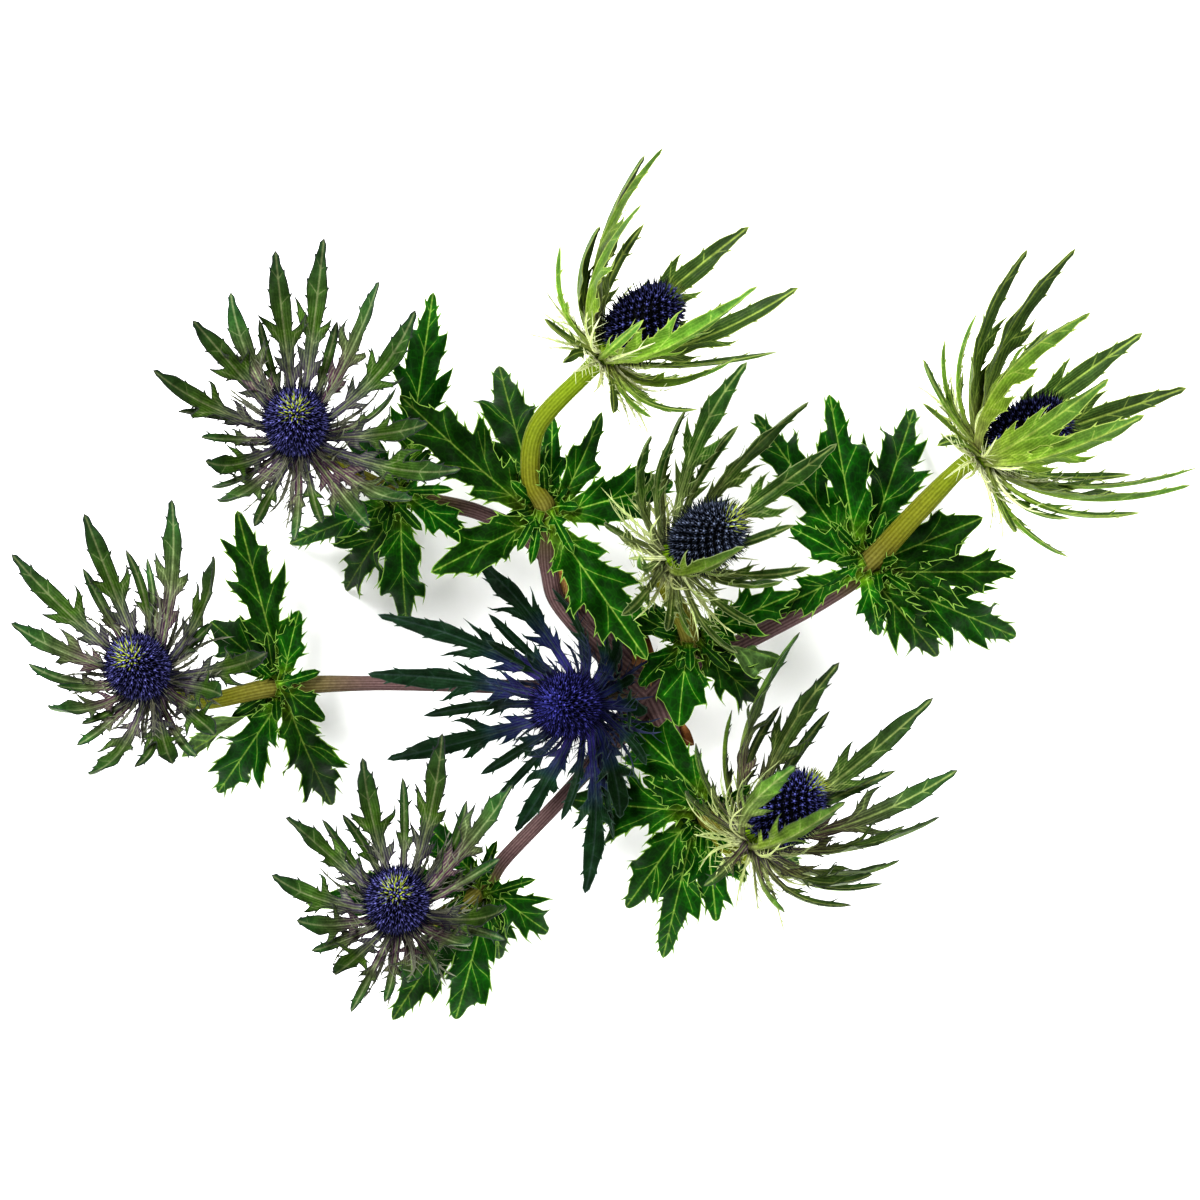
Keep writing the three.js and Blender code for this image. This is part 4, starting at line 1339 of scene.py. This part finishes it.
@dataclass
class FlowerHead:
    """A cone of florets in a collar of spiny bracts.

    base is the receptacle's top, and the axis leans by tilt degrees towards the compass angle toward.
    Bracts are (angle round the axis, opening from the axis, length).
    """

    number: int
    base: tuple[float, float, float]
    tilt: float
    toward: float
    colour: HeadColour
    broad: tuple[tuple[float, float, float], ...]
    slim: tuple[tuple[float, float, float], ...]
    broad_form: BladeForm = BROAD
    combs: int = 36
    comb_length: float = 22.0
    comb_opening: float = 84.0
    inner_opening: float = 58.0  # of every fourth comb bract, which stands inside the collar
    hub_radius: float = 6.6
    hub_height: float = 1.8
    spread: float = 24.0  # degrees that a bract leaves the hub flatter than its tip's opening
    flattest: float = 95.0
    knee: float = 0.45  # share of the length at which a bract bends

    ROOT_SUNK = 2.6  # mm of a root inside the hub
    TURNED = 0.75  # share of the way to its tip's angle that a bract has turned at its knee
    UP = (-0.6, 0.8)  # which way its upper face turns: out from the axis, and along it
    TWIST = 90.0  # degrees between the bracts that are twisted most, one way and the other
    INNER_EVERY = 4
    INNER_DROP, COMB_DROP = -0.9, 1.2  # mm below the rim
    LOOSE_SLOT, LOOSE_OPENING, LOOSE_LENGTH = 0.8, 34.0, 14.0  # of comb bracts: slots, degrees and mm
    SEEDS = 40  # for each head
    COMB_SEED, COMB_SEED_STEP = 0.5, 1.3  # the first comb bract's seed, and from each to the next

    @property
    def place(self) -> Matrix:
        """The head's own frame on the plant."""
        return leaning_frame(Vector(self.base), self.tilt, self.toward)

    def bract(self, slot: float, target: tuple[float, float, float], form: BladeForm, seed: float,
              drop: float = 0.0) -> Blade:
        """Return a bract that leaves the rim at a slot and ends where its target says.

        Args:
            slot: The angle of its root.
            target: The tip's angle round the axis, its opening from the axis and its distance.
            form: Its outline.
            seed: What sets its small differences.
            drop: How far below the rim it grows.

        Returns:
            The bract on the plant.
        """
        angle, opening, length = target
        turned = slot + self.TURNED * (angle - slot) + form.sway * scatter(seed + 0.7)
        flat = math.radians(min(opening + self.spread, self.flattest))
        run = length * self.knee
        height = -self.hub_height / 2 - drop
        root = polar(slot, self.hub_radius - self.ROOT_SUNK, height)
        knee = polar(turned, self.hub_radius + run * math.sin(flat), height + run * math.cos(flat))
        lean = math.radians(opening)
        tip = polar(angle, length * math.sin(lean), length * math.cos(lean) - drop)
        up = polar(turned, *self.UP)
        place = self.place
        return Blade(place @ root, place @ knee, place @ tip, place.to_3x3() @ up, form, seed, length,
                     roll=self.TWIST * scatter(seed))

    def _collar(self, first_seed: int) -> BladeCluster:
        """Gather the long bracts, whose roots share the hub's rim evenly.

        Args:
            first_seed: The first bract's seed.

        Returns:
            The bracts.
        """
        bracts = sorted([(*b, self.broad_form) for b in self.broad] + [(*b, SLIM) for b in self.slim],
                        key=lambda bract: bract[0])
        slots = even_slots([bract[0] for bract in bracts])
        collar = BladeCluster()
        for seed, (slot, (angle, opening, length, form)) in enumerate(zip(slots, bracts), first_seed):
            collar.add(self.bract(slot, (angle, opening, length), form, seed))
        return collar

    def _combs(self, first_seed: int) -> BladeCluster:
        """Gather the comb-like bracts, most below the collar and every fourth inside it.

        Args:
            first_seed: What their seeds are counted from.

        Returns:
            The bracts.
        """
        combs = BladeCluster()
        for index in range(self.combs):
            seed = first_seed + self.COMB_SEED + index * self.COMB_SEED_STEP
            angle = 360.0 * (index + self.LOOSE_SLOT * scatter(seed)) / self.combs
            inner = index % self.INNER_EVERY == 0
            opening = self.inner_opening if inner else self.comb_opening
            opening += self.LOOSE_OPENING * scatter(seed + 0.1)
            length = self.comb_length + self.LOOSE_LENGTH * scatter(seed + 0.2)
            drop = self.INNER_DROP if inner else self.COMB_DROP
            combs.add(self.bract(angle, (angle, opening, length), COMB, seed, drop))
        return combs

    def build(self, cone: FloretCone) -> None:
        """Build and dress the collar, the comb-like bracts and the cone.

        Args:
            cone: The cone that all heads share.
        """
        number = self.number
        bract_finish, comb_finish, floret_finish = self.colour.value
        first_seed = (number - 1) * self.SEEDS
        slot = "bract_dark" if self.colour is HeadColour.INDIGO else "bract"
        collar = self._collar(first_seed).build(f"bract_collar_{number}", bract_finish.material())
        seat_piece(collar, slot, f"bracts_{number}")
        combs = self._combs(first_seed).build(f"comb_bracts_{number}", comb_finish.material())
        seat_piece(combs, slot)
        florets = cone.build(f"floret_cone_{number}", self.place, number, floret_finish.material())
        seat_piece(florets, "cone", f"cone_{number}")


# ---------------------------------------------------------------- stalks and leaves


@dataclass
class Branch:
    """One branch, from the lowest node to its flower head.

    Stops are (x, y, z, radius), whorl_stop says which of them carries a whorl of leaves, and green says
    how green the stalk is from there to the head.
    """

    head: FlowerHead
    stops: tuple[Stop, ...]
    whorl_stop: int = 0
    green: float = 1.0
    neck: float = 8.0  # it is straight for this far below its head

    NECK_RADIUS = 2.4
    FLARE = ((-3.6, 2.9), (-2.2, 3.6), (-1.4, 4.4), (-0.4, 4.7), (1.0, 4.2), (2.6, 2.8))  # height, radius

    def course(self) -> list[Stop]:
        """Lead the branch up to its head.

        Returns:
            Its stops, with the neck under the head and the flare of the receptacle.
        """
        place = self.head.place
        neck = [(*(place @ Vector((0, 0, height))), radius)
                for height, radius in ((-self.neck, self.NECK_RADIUS), *self.FLARE)]
        return [*self.stops, *neck]

    def node_frame(self) -> tuple[Vector, Matrix, float]:
        """Find the node that carries the whorl.

        Returns:
            Where it is, the frame of the stalk there and the stalk's radius.
        """
        course = self.course()
        before, at, after = (Vector(course[self.whorl_stop + i][:3]) for i in (-1, 0, 1))
        direction = (after - before).normalized()
        tilt = math.degrees(math.acos(direction.z))
        toward = math.degrees(math.atan2(direction.y, direction.x))
        return at, leaning_frame(at, tilt, toward), self.stops[self.whorl_stop][3]


@dataclass
class Stalks:
    """The stub and the branches as ribbed stalks that swell at their nodes."""

    stub: tuple[Stop, ...]
    branches: list[Branch]
    finish: StalkFinish
    step: float = 1.5  # mm between rings
    sides: int = 68
    ribs: int = 17
    rib_depth: float = 0.025  # share of the radius

    FIRST_GREEN, GREENING = 0.4, 1.2  # shares of its green: at its whorl, and gained from there to the head

    def _trace(self, course: list[Stop], greens: list[float]) -> np.ndarray:
        """Follow a smooth line through stops.

        Args:
            course: The stops.
            greens: How green the stalk is at each of them.

        Returns:
            Rows of x, y, z, radius and green.
        """
        stops = np.array([(*stop, green) for stop, green in zip(course, greens)])
        ends = np.concatenate([2 * stops[:1] - stops[1:2], stops, 2 * stops[-1:] - stops[-2:-1]])
        rows = [stops[:1]]
        for before, start, stop, after in zip(ends, ends[1:], ends[2:], ends[3:]):
            count = max(2, math.ceil(np.linalg.norm(stop[:3] - start[:3]) / self.step))
            t = (np.arange(count) + 1)[:, None] / count
            leave, arrive = 0.5 * (stop - before), 0.5 * (after - start)
            curve = (start + t * leave + t**2 * (3 * (stop - start) - 2 * leave - arrive)
                     + t**3 * (2 * (start - stop) + leave + arrive))
            curve[:, 3:] = start[3:] + (stop[3:] - start[3:]) * (3 * t**2 - 2 * t**3)
            rows.append(curve)
        return np.concatenate(rows)

    def _tree(self) -> Tree:
        """Build the tree that draws a ribbed outline along each line, as thick as the line says.

        Returns:
            The tree.
        """
        tree, given = open_tree("ribbed_stalk", {
            "Sides": "Int", "Ribs": "Int", "Rib Depth": "Float", "Material": "Material",
        })
        index = add_node(tree, "GeometryNodeInputIndex").outputs[0]
        turn = add_node(tree, "ShaderNodeMath", {"operation": "DIVIDE"}, i0=index, i1=given["Sides"])
        wave_turn = add_node(tree, "ShaderNodeMath", MULTIPLY, i0=turn.outputs[0], i1=given["Ribs"])
        angle = add_node(tree, "ShaderNodeMath", MULTIPLY, i0=wave_turn.outputs[0], i1=2 * math.pi)
        wave = add_node(tree, "ShaderNodeMath", COSINE, i0=angle.outputs[0])
        ridge = add_node(tree, "ShaderNodeMath", MULTIPLY_ADD, i0=wave.outputs[0], i1=0.5, i2=0.5)
        depth = add_node(tree, "ShaderNodeMath", MULTIPLY_ADD, i0=wave.outputs[0],
                         i1=given["Rib Depth"], i2=1.0)
        circle = add_node(tree, "GeometryNodeCurvePrimitiveCircle", Resolution=given["Sides"], Radius=1.0)
        marked = add_node(tree, "GeometryNodeStoreNamedAttribute", {**NUMBERS, "domain": "POINT"},
                          Geometry=circle.outputs[0], Name="ridge", Value=ridge.outputs[0])
        place = add_node(tree, "GeometryNodeInputPosition")
        scaled = add_node(tree, "ShaderNodeVectorMath", {"operation": "SCALE"}, i0=place.outputs[0],
                          Scale=depth.outputs[0])
        outline = add_node(tree, "GeometryNodeSetPosition", Geometry=marked.outputs[0],
                           Position=scaled.outputs[0])
        lines = add_node(tree, "GeometryNodeMeshToCurve", Mesh=given["Geometry"])
        thickness = add_node(tree, "GeometryNodeInputNamedAttribute", NUMBERS, Name="thickness")
        stalk = add_node(tree, "GeometryNodeCurveToMesh", Curve=lines.outputs[0], i1=outline.outputs[0],
                         Scale=thickness.outputs[0], Fill_Caps=True)
        close_tree(tree, stalk.outputs[0], given["Material"])
        return tree

    def _greens(self, branch: Branch, last: int) -> list[float]:
        """Return how green a branch is at each stop: not at all below its whorl, and more and more above.

        Args:
            branch: The branch.
            last: The index of its last stop.

        Returns:
            One number between 0 and 1 for each stop.
        """
        node = branch.whorl_stop or 1
        grown = [self.FIRST_GREEN + self.GREENING * i / (last - node) for i in range(last - node + 1)]
        return [0.0] * node + [branch.green * min(green, 1.0) for green in grown]

    def build(self) -> None:
        """Build and dress the stalks."""
        runs = [self._trace(list(self.stub), [0.0] * len(self.stub))]
        for branch in self.branches:
            course = branch.course()
            runs.append(self._trace(course, self._greens(branch, len(course) - 1)))
        edges, first = [], 0
        for run in runs:
            edges += [(first + i, first + i + 1) for i in range(len(run) - 1)]
            first += len(run)
        rows = np.concatenate(runs)
        points = (rows[:, :3] - np.array(CROWN_CENTRE)) * MM
        values = {"thickness": rows[:, 3] * MM, "fresh": rows[:, 4]}
        piece = new_object("stem_branches", points, edges, [], values)
        grow(piece, self._tree(), {"Sides": self.sides, "Ribs": self.ribs, "Rib Depth": self.rib_depth,
                                   "Material": self.finish.material()})
        seat_piece(piece, "stem", "stem")


@dataclass
class LeafWhorl:
    """The cut leaves at a node, with the small spiny leaflets between their bases.

    Leaves are (compass angle, reach, height of the tip, form, width, roll).
    """

    number: int
    branch: Branch
    leaves: tuple[tuple[float, float, float, BladeForm, float, float], ...]
    hub_wall: float = 2.7  # from the stalk's surface to where the solids' leaves start
    hub_drop: float = 0.9  # from the node down to there
    rise: float = 7.0  # from there up to a leaf's knee
    knee: float = 0.45  # share of the way at which a leaf bends
    leaflets: int = 8
    leaflet_reach: float = 12.0
    leaflet_height: float = 6.0

    ROOT_OUT, ROOT_DROP = 0.2, 1.6  # from the stalk's surface out, and from the node down
    LEAF_UP = (0.5, 0.8)  # which way the upper face turns: out, and up
    LEAFLET_OUT, LEAFLET_RISE = 0.3, 0.6  # of a leaflet's root
    LEAFLET_UP = (-0.4, 0.9)
    LEAFLET_KNEE = (0.4, 3.5)  # share of the way, and mm up from there
    LEAFLET_LENGTH, LEAFLET_WIDTH = 1.1, 0.9  # over its chord, and as a share of its form's
    LOOSE_REACH, LOOSE_HEIGHT, LEAFLET_TWIST = 8.0, 14.0, 60.0  # mm, mm and degrees
    SEEDS = 20  # for each whorl
    LEAF_SEED, LEAFLET_SEED, LEAFLET_SEED_STEP = 500, 900, 1.1

    def build(self, material: bpy.types.Material) -> None:
        """Build and dress the whorl.

        Args:
            material: The leaves' finish.
        """
        cluster = BladeCluster()
        self._add_leaves(cluster)
        self._add_leaflets(cluster)
        seat_piece(cluster.build(f"leaf_whorl_{self.number}", material), "leaf", f"leaves_{self.number}")

    def _add_leaves(self, cluster: BladeCluster) -> None:
        """Add the leaves, whose roots share the node evenly.

        Args:
            cluster: The whorl so far.
        """
        node, place, stalk = self.branch.node_frame()
        leaves = sorted(self.leaves, key=lambda leaf: leaf[0])
        slots = even_slots([leaf[0] for leaf in leaves])
        first_seed = self.LEAF_SEED + self.number * self.SEEDS
        for seed, (slot, leaf) in enumerate(zip(slots, leaves), first_seed):
            angle, reach, height, form, width, roll = leaf
            start = place @ polar(slot, stalk + self.hub_wall, -self.hub_drop)
            tip = (node + polar(angle, reach)).xy.to_3d() + Vector((0, 0, height))
            knee = start.lerp(tip, self.knee)
            knee.z = start.z + self.rise
            root = place @ polar(slot, stalk + self.ROOT_OUT, -self.ROOT_DROP)
            length = (tip - start).length + self.hub_wall
            cluster.add(Blade(root, knee, tip, polar(angle, *self.LEAF_UP), form, seed, length,
                              roll=roll, width=width))

    def _add_leaflets(self, cluster: BladeCluster) -> None:
        """Add the small spiny leaflets between the leaves' bases.

        Args:
            cluster: The whorl so far.
        """
        node, place, stalk = self.branch.node_frame()
        share, lift = self.LEAFLET_KNEE
        for index in range(self.leaflets):
            seed = self.LEAFLET_SEED + self.number * self.SEEDS + index * self.LEAFLET_SEED_STEP
            angle = 360.0 * (index + scatter(seed)) / self.leaflets
            reach = self.leaflet_reach + self.LOOSE_REACH * scatter(seed + 0.3)
            height = self.leaflet_height + self.LOOSE_HEIGHT * scatter(seed + 0.6)
            root = place @ polar(angle, stalk + self.LEAFLET_OUT, self.LEAFLET_RISE)
            tip = node + polar(angle, reach, height)
            knee = root.lerp(tip, share) + Vector((0, 0, lift))
            length = (tip - root).length * self.LEAFLET_LENGTH
            cluster.add(Blade(root, knee, tip, polar(angle, *self.LEAFLET_UP), LEAFLET, seed, length,
                              roll=self.LEAFLET_TWIST * scatter(seed + 0.8), width=self.LEAFLET_WIDTH))


@dataclass
class DrySheaths:
    """Papery brown leaf bases that cling to the lower nodes. Each is (foot, tip, which way it faces)."""

    sheaths: tuple[tuple[tuple[float, float, float], tuple[float, float, float], float], ...]
    belly: tuple[float, float] = (3.0, 1.0)  # mm that the middle stands out, and up
    fold: float = 35.0

    UP = (0.6, 0.7)  # which way the upper face turns: back to the stalk, and up
    TWIST = 40.0  # degrees between the two that are twisted most
    SEED = 700

    def build(self, material: bpy.types.Material) -> None:
        """Build and dress the sheaths.

        Args:
            material: Their finish.
        """
        cluster = BladeCluster()
        for index, (foot, tip, facing) in enumerate(self.sheaths):
            seed = self.SEED + index
            root, end = Vector(foot), Vector(tip)
            knee = root.lerp(end, 0.5) + polar(facing, *self.belly)
            cluster.add(Blade(root, knee, end, polar(facing + 180.0, *self.UP), SHEATH, seed,
                              (end - root).length, roll=self.TWIST * scatter(seed), fold=self.fold))
        seat_piece(cluster.build("dry_sheaths", material), "stem")


# ---------------------------------------------------------------- the plant's layout

HEADS = (
    FlowerHead(
        1, (-83, 45, 53), 17, 95, HeadColour.BLUE_GREY,
        broad=((39, 55, 52), (56, 53, 52), (80, 54, 58), (97, 58, 53), (118, 55, 46), (138, 55, 46),
               (165, 55, 49), (208, 55, 34), (230, 57, 39), (303, 64, 42), (320, 56, 51), (338, 60, 57),
               (353, 55, 45)),
        slim=((69, 66, 34), (109, 72, 34), (174, 70, 35), (190, 62, 30), (218, 68, 32), (250, 65, 36),
              (270, 66, 38), (284, 64, 34), (20, 66, 32)),
    ),
    FlowerHead(
        2, (2, 67.5, 70), 74, 42, HeadColour.LIME,
        broad=((2, 36, 57), (42, 36, 56), (104, 43, 56), (122, 33, 59), (144, 49, 37), (168, 36, 50),
               (250, 30, 60), (298, 48, 31)),
        slim=((84, 48, 40), (160, 66, 38), (182, 91, 29), (203, 108, 20), (222, 50, 33), (252, 98, 27),
              (268, 84, 30), (279, 68, 36), (326, 46, 35), (345, 50, 48), (20, 62, 34), (318, 86, 24)),
        broad_form=YOUNG, comb_opening=98.0,
    ),
    FlowerHead(
        3, (106, 40, 54), 80, 28, HeadColour.LIME,
        broad=((12, 34, 64), (44, 34, 60), (103, 40, 62), (120, 50, 58), (168, 34, 58), (203, 34, 54),
               (228, 33, 58), (313, 38, 57)),
        slim=((134, 64, 41), (150, 78, 40), (160, 88, 42), (170, 98, 34), (190, 104, 28), (250, 88, 34),
              (264, 76, 44), (286, 64, 30), (296, 48, 46), (332, 38, 60), (345, 50, 46), (70, 50, 44)),
        broad_form=YOUNG, comb_opening=98.0,
    ),
    FlowerHead(
        4, (21, 12, 57), 48, 33, HeadColour.SHADED,
        broad=((36, 44, 54), (58, 42, 56), (91, 44, 58), (147, 50, 45), (238, 26, 42), (316, 44, 32)),
        slim=((76, 50, 40), (104, 56, 42), (120, 52, 36), (176, 79, 31), (200, 66, 28), (222, 88, 34),
              (244, 80, 31), (256, 74, 32), (272, 66, 40), (294, 62, 32), (344, 54, 37), (10, 52, 34)),
        comb_opening=92.0,
    ),
    FlowerHead(
        5, (-124, -22, 48), 20, 128, HeadColour.BLUE_GREY,
        broad=((50, 55, 44), (74, 55, 54), (108, 55, 51), (139, 55, 53), (163, 55, 43), (206, 57, 32),
               (252, 57, 41), (292, 62, 35), (318, 64, 34), (339, 60, 30), (0, 58, 46)),
        slim=((32, 65, 26), (87, 66, 34), (97, 64, 37), (120, 66, 36), (176, 68, 34), (188, 70, 26),
              (222, 66, 24), (232, 66, 30), (270, 64, 32), (304, 76, 30), (328, 50, 28)),
    ),
    FlowerHead(
        6, (-55, -86, 45), 15, 100, HeadColour.BLUE_GREY,
        broad=((41, 54, 53), (73, 54, 55), (104, 54, 47), (146, 54, 45), (172, 55, 42), (194, 56, 34),
               (233, 55, 34), (277, 57, 28), (327, 54, 30), (352, 54, 38)),
        slim=((22, 64, 34), (56, 66, 37), (88, 65, 38), (122, 66, 32), (132, 68, 34), (210, 66, 30),
              (249, 65, 38), (263, 70, 30), (299, 64, 26), (339, 66, 35)),
    ),
    FlowerHead(
        7, (43, -65.5, 45), 61, 43, HeadColour.OLIVE,
        broad=((5, 42, 59), (36, 42, 64), (76, 42, 54), (102, 42, 58), (206, 34, 46), (244, 31, 48),
               (286, 50, 42), (314, 48, 42), (341, 42, 51)),
        slim=((22, 52, 46), (62, 54, 44), (88, 55, 38), (120, 60, 36), (150, 70, 34), (179, 78, 34),
              (222, 100, 31), (262, 82, 32), (276, 62, 44), (304, 56, 40), (352, 52, 42)),
        comb_opening=92.0,
    ),
    FlowerHead(
        8, (-5, -29, 38), 18, 178, HeadColour.INDIGO,
        broad=((52, 64, 27), (122, 67, 55), (154, 66, 62), (171, 66, 60), (197, 67, 56), (249, 66, 41),
               (279, 67, 57), (297, 67, 38), (357, 66, 24)),
        slim=((75, 72, 28), (100, 74, 34), (134, 76, 36), (144, 72, 32), (184, 76, 44), (216, 74, 34),
              (232, 70, 36), (264, 76, 33), (288, 78, 40), (322, 74, 28), (24, 72, 20)),
    ),
)

FORK = (14, -26, 26, 4.4)
STUB = ((15, -27, 0.1, 4.0), (15, -27, 12, 4.0), FORK)
BRANCHES = [
    Branch(HEADS[0], (FORK, (-16, 13, 34, 2.1), (-33, 24, 36, 2.1), (-56, 29, 39, 2.6),
                      (-74, 38, 41, 2.2)), 3),
    Branch(HEADS[1], (FORK, (-9, -4, 36, 2.4), (-14, 8, 42, 2.4), (-15, 25, 48, 2.9), (-19, 34, 53, 2.7),
                      (-17, 48, 60, 2.6)), 3),
    Branch(HEADS[2], (FORK, (33, -15, 30, 2.6), (61, 0, 34, 2.6), (74, 10, 38, 3.2), (87, 24, 48, 2.9)), 3),
    Branch(HEADS[3], (FORK, (20, -19, 34, 2.4), (25, -11, 42, 2.8)), 2),
    Branch(HEADS[4], (FORK, (-25, -24, 26, 2.0), (-60, -23, 27, 2.0), (-89, -24, 34, 2.6),
                      (-110, -28, 37, 2.2)), 3),
    Branch(HEADS[5], (FORK, (-8, -52, 28, 2.0), (-26, -71, 30, 2.0), (-33, -80, 33, 2.5),
                      (-46, -88, 35, 2.2)), 3),
    Branch(HEADS[6], (FORK, (23, -46, 31, 2.3), (29, -59, 35, 2.8)), 2),
    Branch(HEADS[7], (FORK, (6, -27, 28, 2.6)), green=0.4),
]
WHORLS = (
    ((80, 57, 18, LOBED, 0.8, 0), (327, 27, 40, NARROW, 1, 0), (241, 30, 0, LOBED, 0.7, 30),
     (204, 33, 0, NARROW, 1.2, 0), (274, 36, 10, TOOTHED, 0.8, 20), (130, 24, 22, NARROW, 1, 0)),
    ((142, 51, 46, LOBED, 1, 0), (108, 42, 0, TOOTHED, 1, 0), (209, 36, 62, TOOTHED, 0.9, 0),
     (304, 50, 60, LOBED, 1, 0), (12, 36, 40, TOOTHED, 1, 0), (60, 31, 40, NARROW, 1.2, 40),
     (86, 26, 34, NARROW, 1, 0)),
    ((73, 45, 0, LOBED, 0.9, 0), (103, 48, 30, TOOTHED, 1, 40), (127, 52, 16, LOBED, 0.8, 0),
     (155, 24, 44, NARROW, 1.2, 0), (206, 33, 27, NARROW, 1, 0), (22, 34, 42, TOOTHED, 0.9, 0),
     (357, 41, 30, LOBED, 0.8, 0), (334, 46, 0, LOBED, 0.9, 0), (307, 32, 18, LOBED, 0.7, 0),
     (278, 20, 30, NARROW, 1, 0)),
    ((262, 24, 50, TOOTHED, 1, 0), (24, 33, 42, LOBED, 0.7, 0), (347, 26, 42, TOOTHED, 0.9, 180),
     (318, 26, 30, LOBED, 0.7, 0), (154, 24, 36, NARROW, 1.2, 0), (222, 19, 37, NARROW, 1, 0)),
    ((103, 50, 22, LOBED, 0.8, 0), (136, 26, 20, TOOTHED, 0.9, 0), (74, 22, 34, NARROW, 1, 0),
     (325, 16, 36, NARROW, 1, 0), (294, 36, 0, LOBED, 0.8, 0), (240, 34, 0, LOBED, 0.8, 0),
     (216, 33, 18, NARROW, 1.3, 180)),
    ((328, 22, 26, LOBED, 0.7, 0), (285, 20, 14, NARROW, 1, 0), (259, 37, 0, TOOTHED, 0.9, 0),
     (236, 44, 0, TOOTHED, 0.9, 0), (185, 48, 24, TOOTHED, 0.8, 0), (130, 26, 20, NARROW, 1.2, 0)),
    ((131, 36, 30, TOOTHED, 1.1, 0), (174, 38, 22, LOBED, 1, 0), (150, 20, 40, NARROW, 1, 0),
     (230, 34, 14, TOOTHED, 0.8, 0), (254, 42, 0, NARROW, 1.4, 0), (276, 30, 20, LOBED, 0.7, 0),
     (300, 22, 26, NARROW, 1, 0), (331, 30, 0, LOBED, 0.7, 0)),
)
SHEATHS = (
    ((-9, -3, 33), (-17, 13, 40), 140),
    ((-7, -1, 34), (-12, 14, 46), 40),
    ((13, -30, 24), (16, -46, 34), 250),
    ((18, -27, 26), (30, -22, 36), 330),
    ((12, -23, 28), (12, -8, 36), 60),
    ((16, -31, 22), (26, -40, 28), 290),
)


# ---------------------------------------------------------------- the studio


@dataclass
class Studio:
    """A white card on a table under soft light, seen straight from above by a long lens."""

    aim: tuple[float, float, float] = (-1.4, -3.7, 50.0)  # mm
    camera_height: float = 6.0  # m above the card
    sensor: float = 36.0
    view_width: float = 0.330  # m across the view, at the height that it aims at
    sky: float = 0.6
    lamps: tuple[tuple[str, tuple[float, float, float], float, float], ...] = (
        ("key_lamp", (-1.0, 1.2, 2.2), 1.0, 126.0),
        ("right_lamp", (1.9, 0.9, 1.8), 1.4, 66.0),
        ("front_lamp", (0.6, -2.0, 1.8), 1.4, 57.0),
        ("left_lamp", (-1.9, -1.1, 1.8), 1.4, 54.0),
    )  # name, place in m, width in m and power in W
    card_size: float = 24.0

    def build(self) -> None:
        """Set up the card, the lamps, the sky and the camera."""
        scene = bpy.context.scene
        scene.view_settings.view_transform = "Standard"
        scene.view_settings.look = "Medium High Contrast"
        half = self.card_size / 2
        corners = np.array([(-half, -half, 0), (half, -half, 0), (half, half, 0), (-half, half, 0)])
        card = new_object("card", corners, [], [(0, 1, 2, 3)])
        card.data.materials.append(CardFinish().material())
        world = bpy.data.worlds.new("soft_sky")
        world.use_nodes = True
        world.node_tree.nodes["Background"].inputs["Color"].default_value = (1, 1, 1, 1)
        world.node_tree.nodes["Background"].inputs["Strength"].default_value = self.sky
        scene.world = world
        for name, place, size, power in self.lamps:
            lamp = bpy.data.lights.new(name, "AREA")
            lamp.shape = "DISK"
            lamp.size = size
            lamp.energy = power
            lit = bpy.data.objects.new(name, lamp)
            lit.location = place
            lit.rotation_euler = (-Vector(place)).to_track_quat("-Z", "Y").to_euler()
            scene.collection.objects.link(lit)
        lens = bpy.data.cameras.new("camera")
        lens.sensor_width = self.sensor
        lens.lens = self.sensor * (self.camera_height - self.aim[2] * MM) / self.view_width
        camera = bpy.data.objects.new("camera", lens)
        camera.location = (self.aim[0] * MM, self.aim[1] * MM, self.camera_height)
        scene.collection.objects.link(camera)
        scene.camera = camera


def main() -> None:
    """Build the plant piece by piece, then the studio round it."""
    logging.basicConfig(level=logging.INFO, format="%(name)s: %(message)s")
    Stalks(STUB, BRANCHES, StalkFinish()).build()
    leaf_material = LEAF_FINISH.material()
    for index, leaves in enumerate(WHORLS):
        LeafWhorl(index + 1, BRANCHES[index], leaves).build(leaf_material)
    DrySheaths(SHEATHS).build(DRY_FINISH.material())
    cone = FloretCone()
    for head in HEADS:
        head.build(cone)
    cone.clear_away()
    Studio().build()


if __name__ == "__main__":
    main()
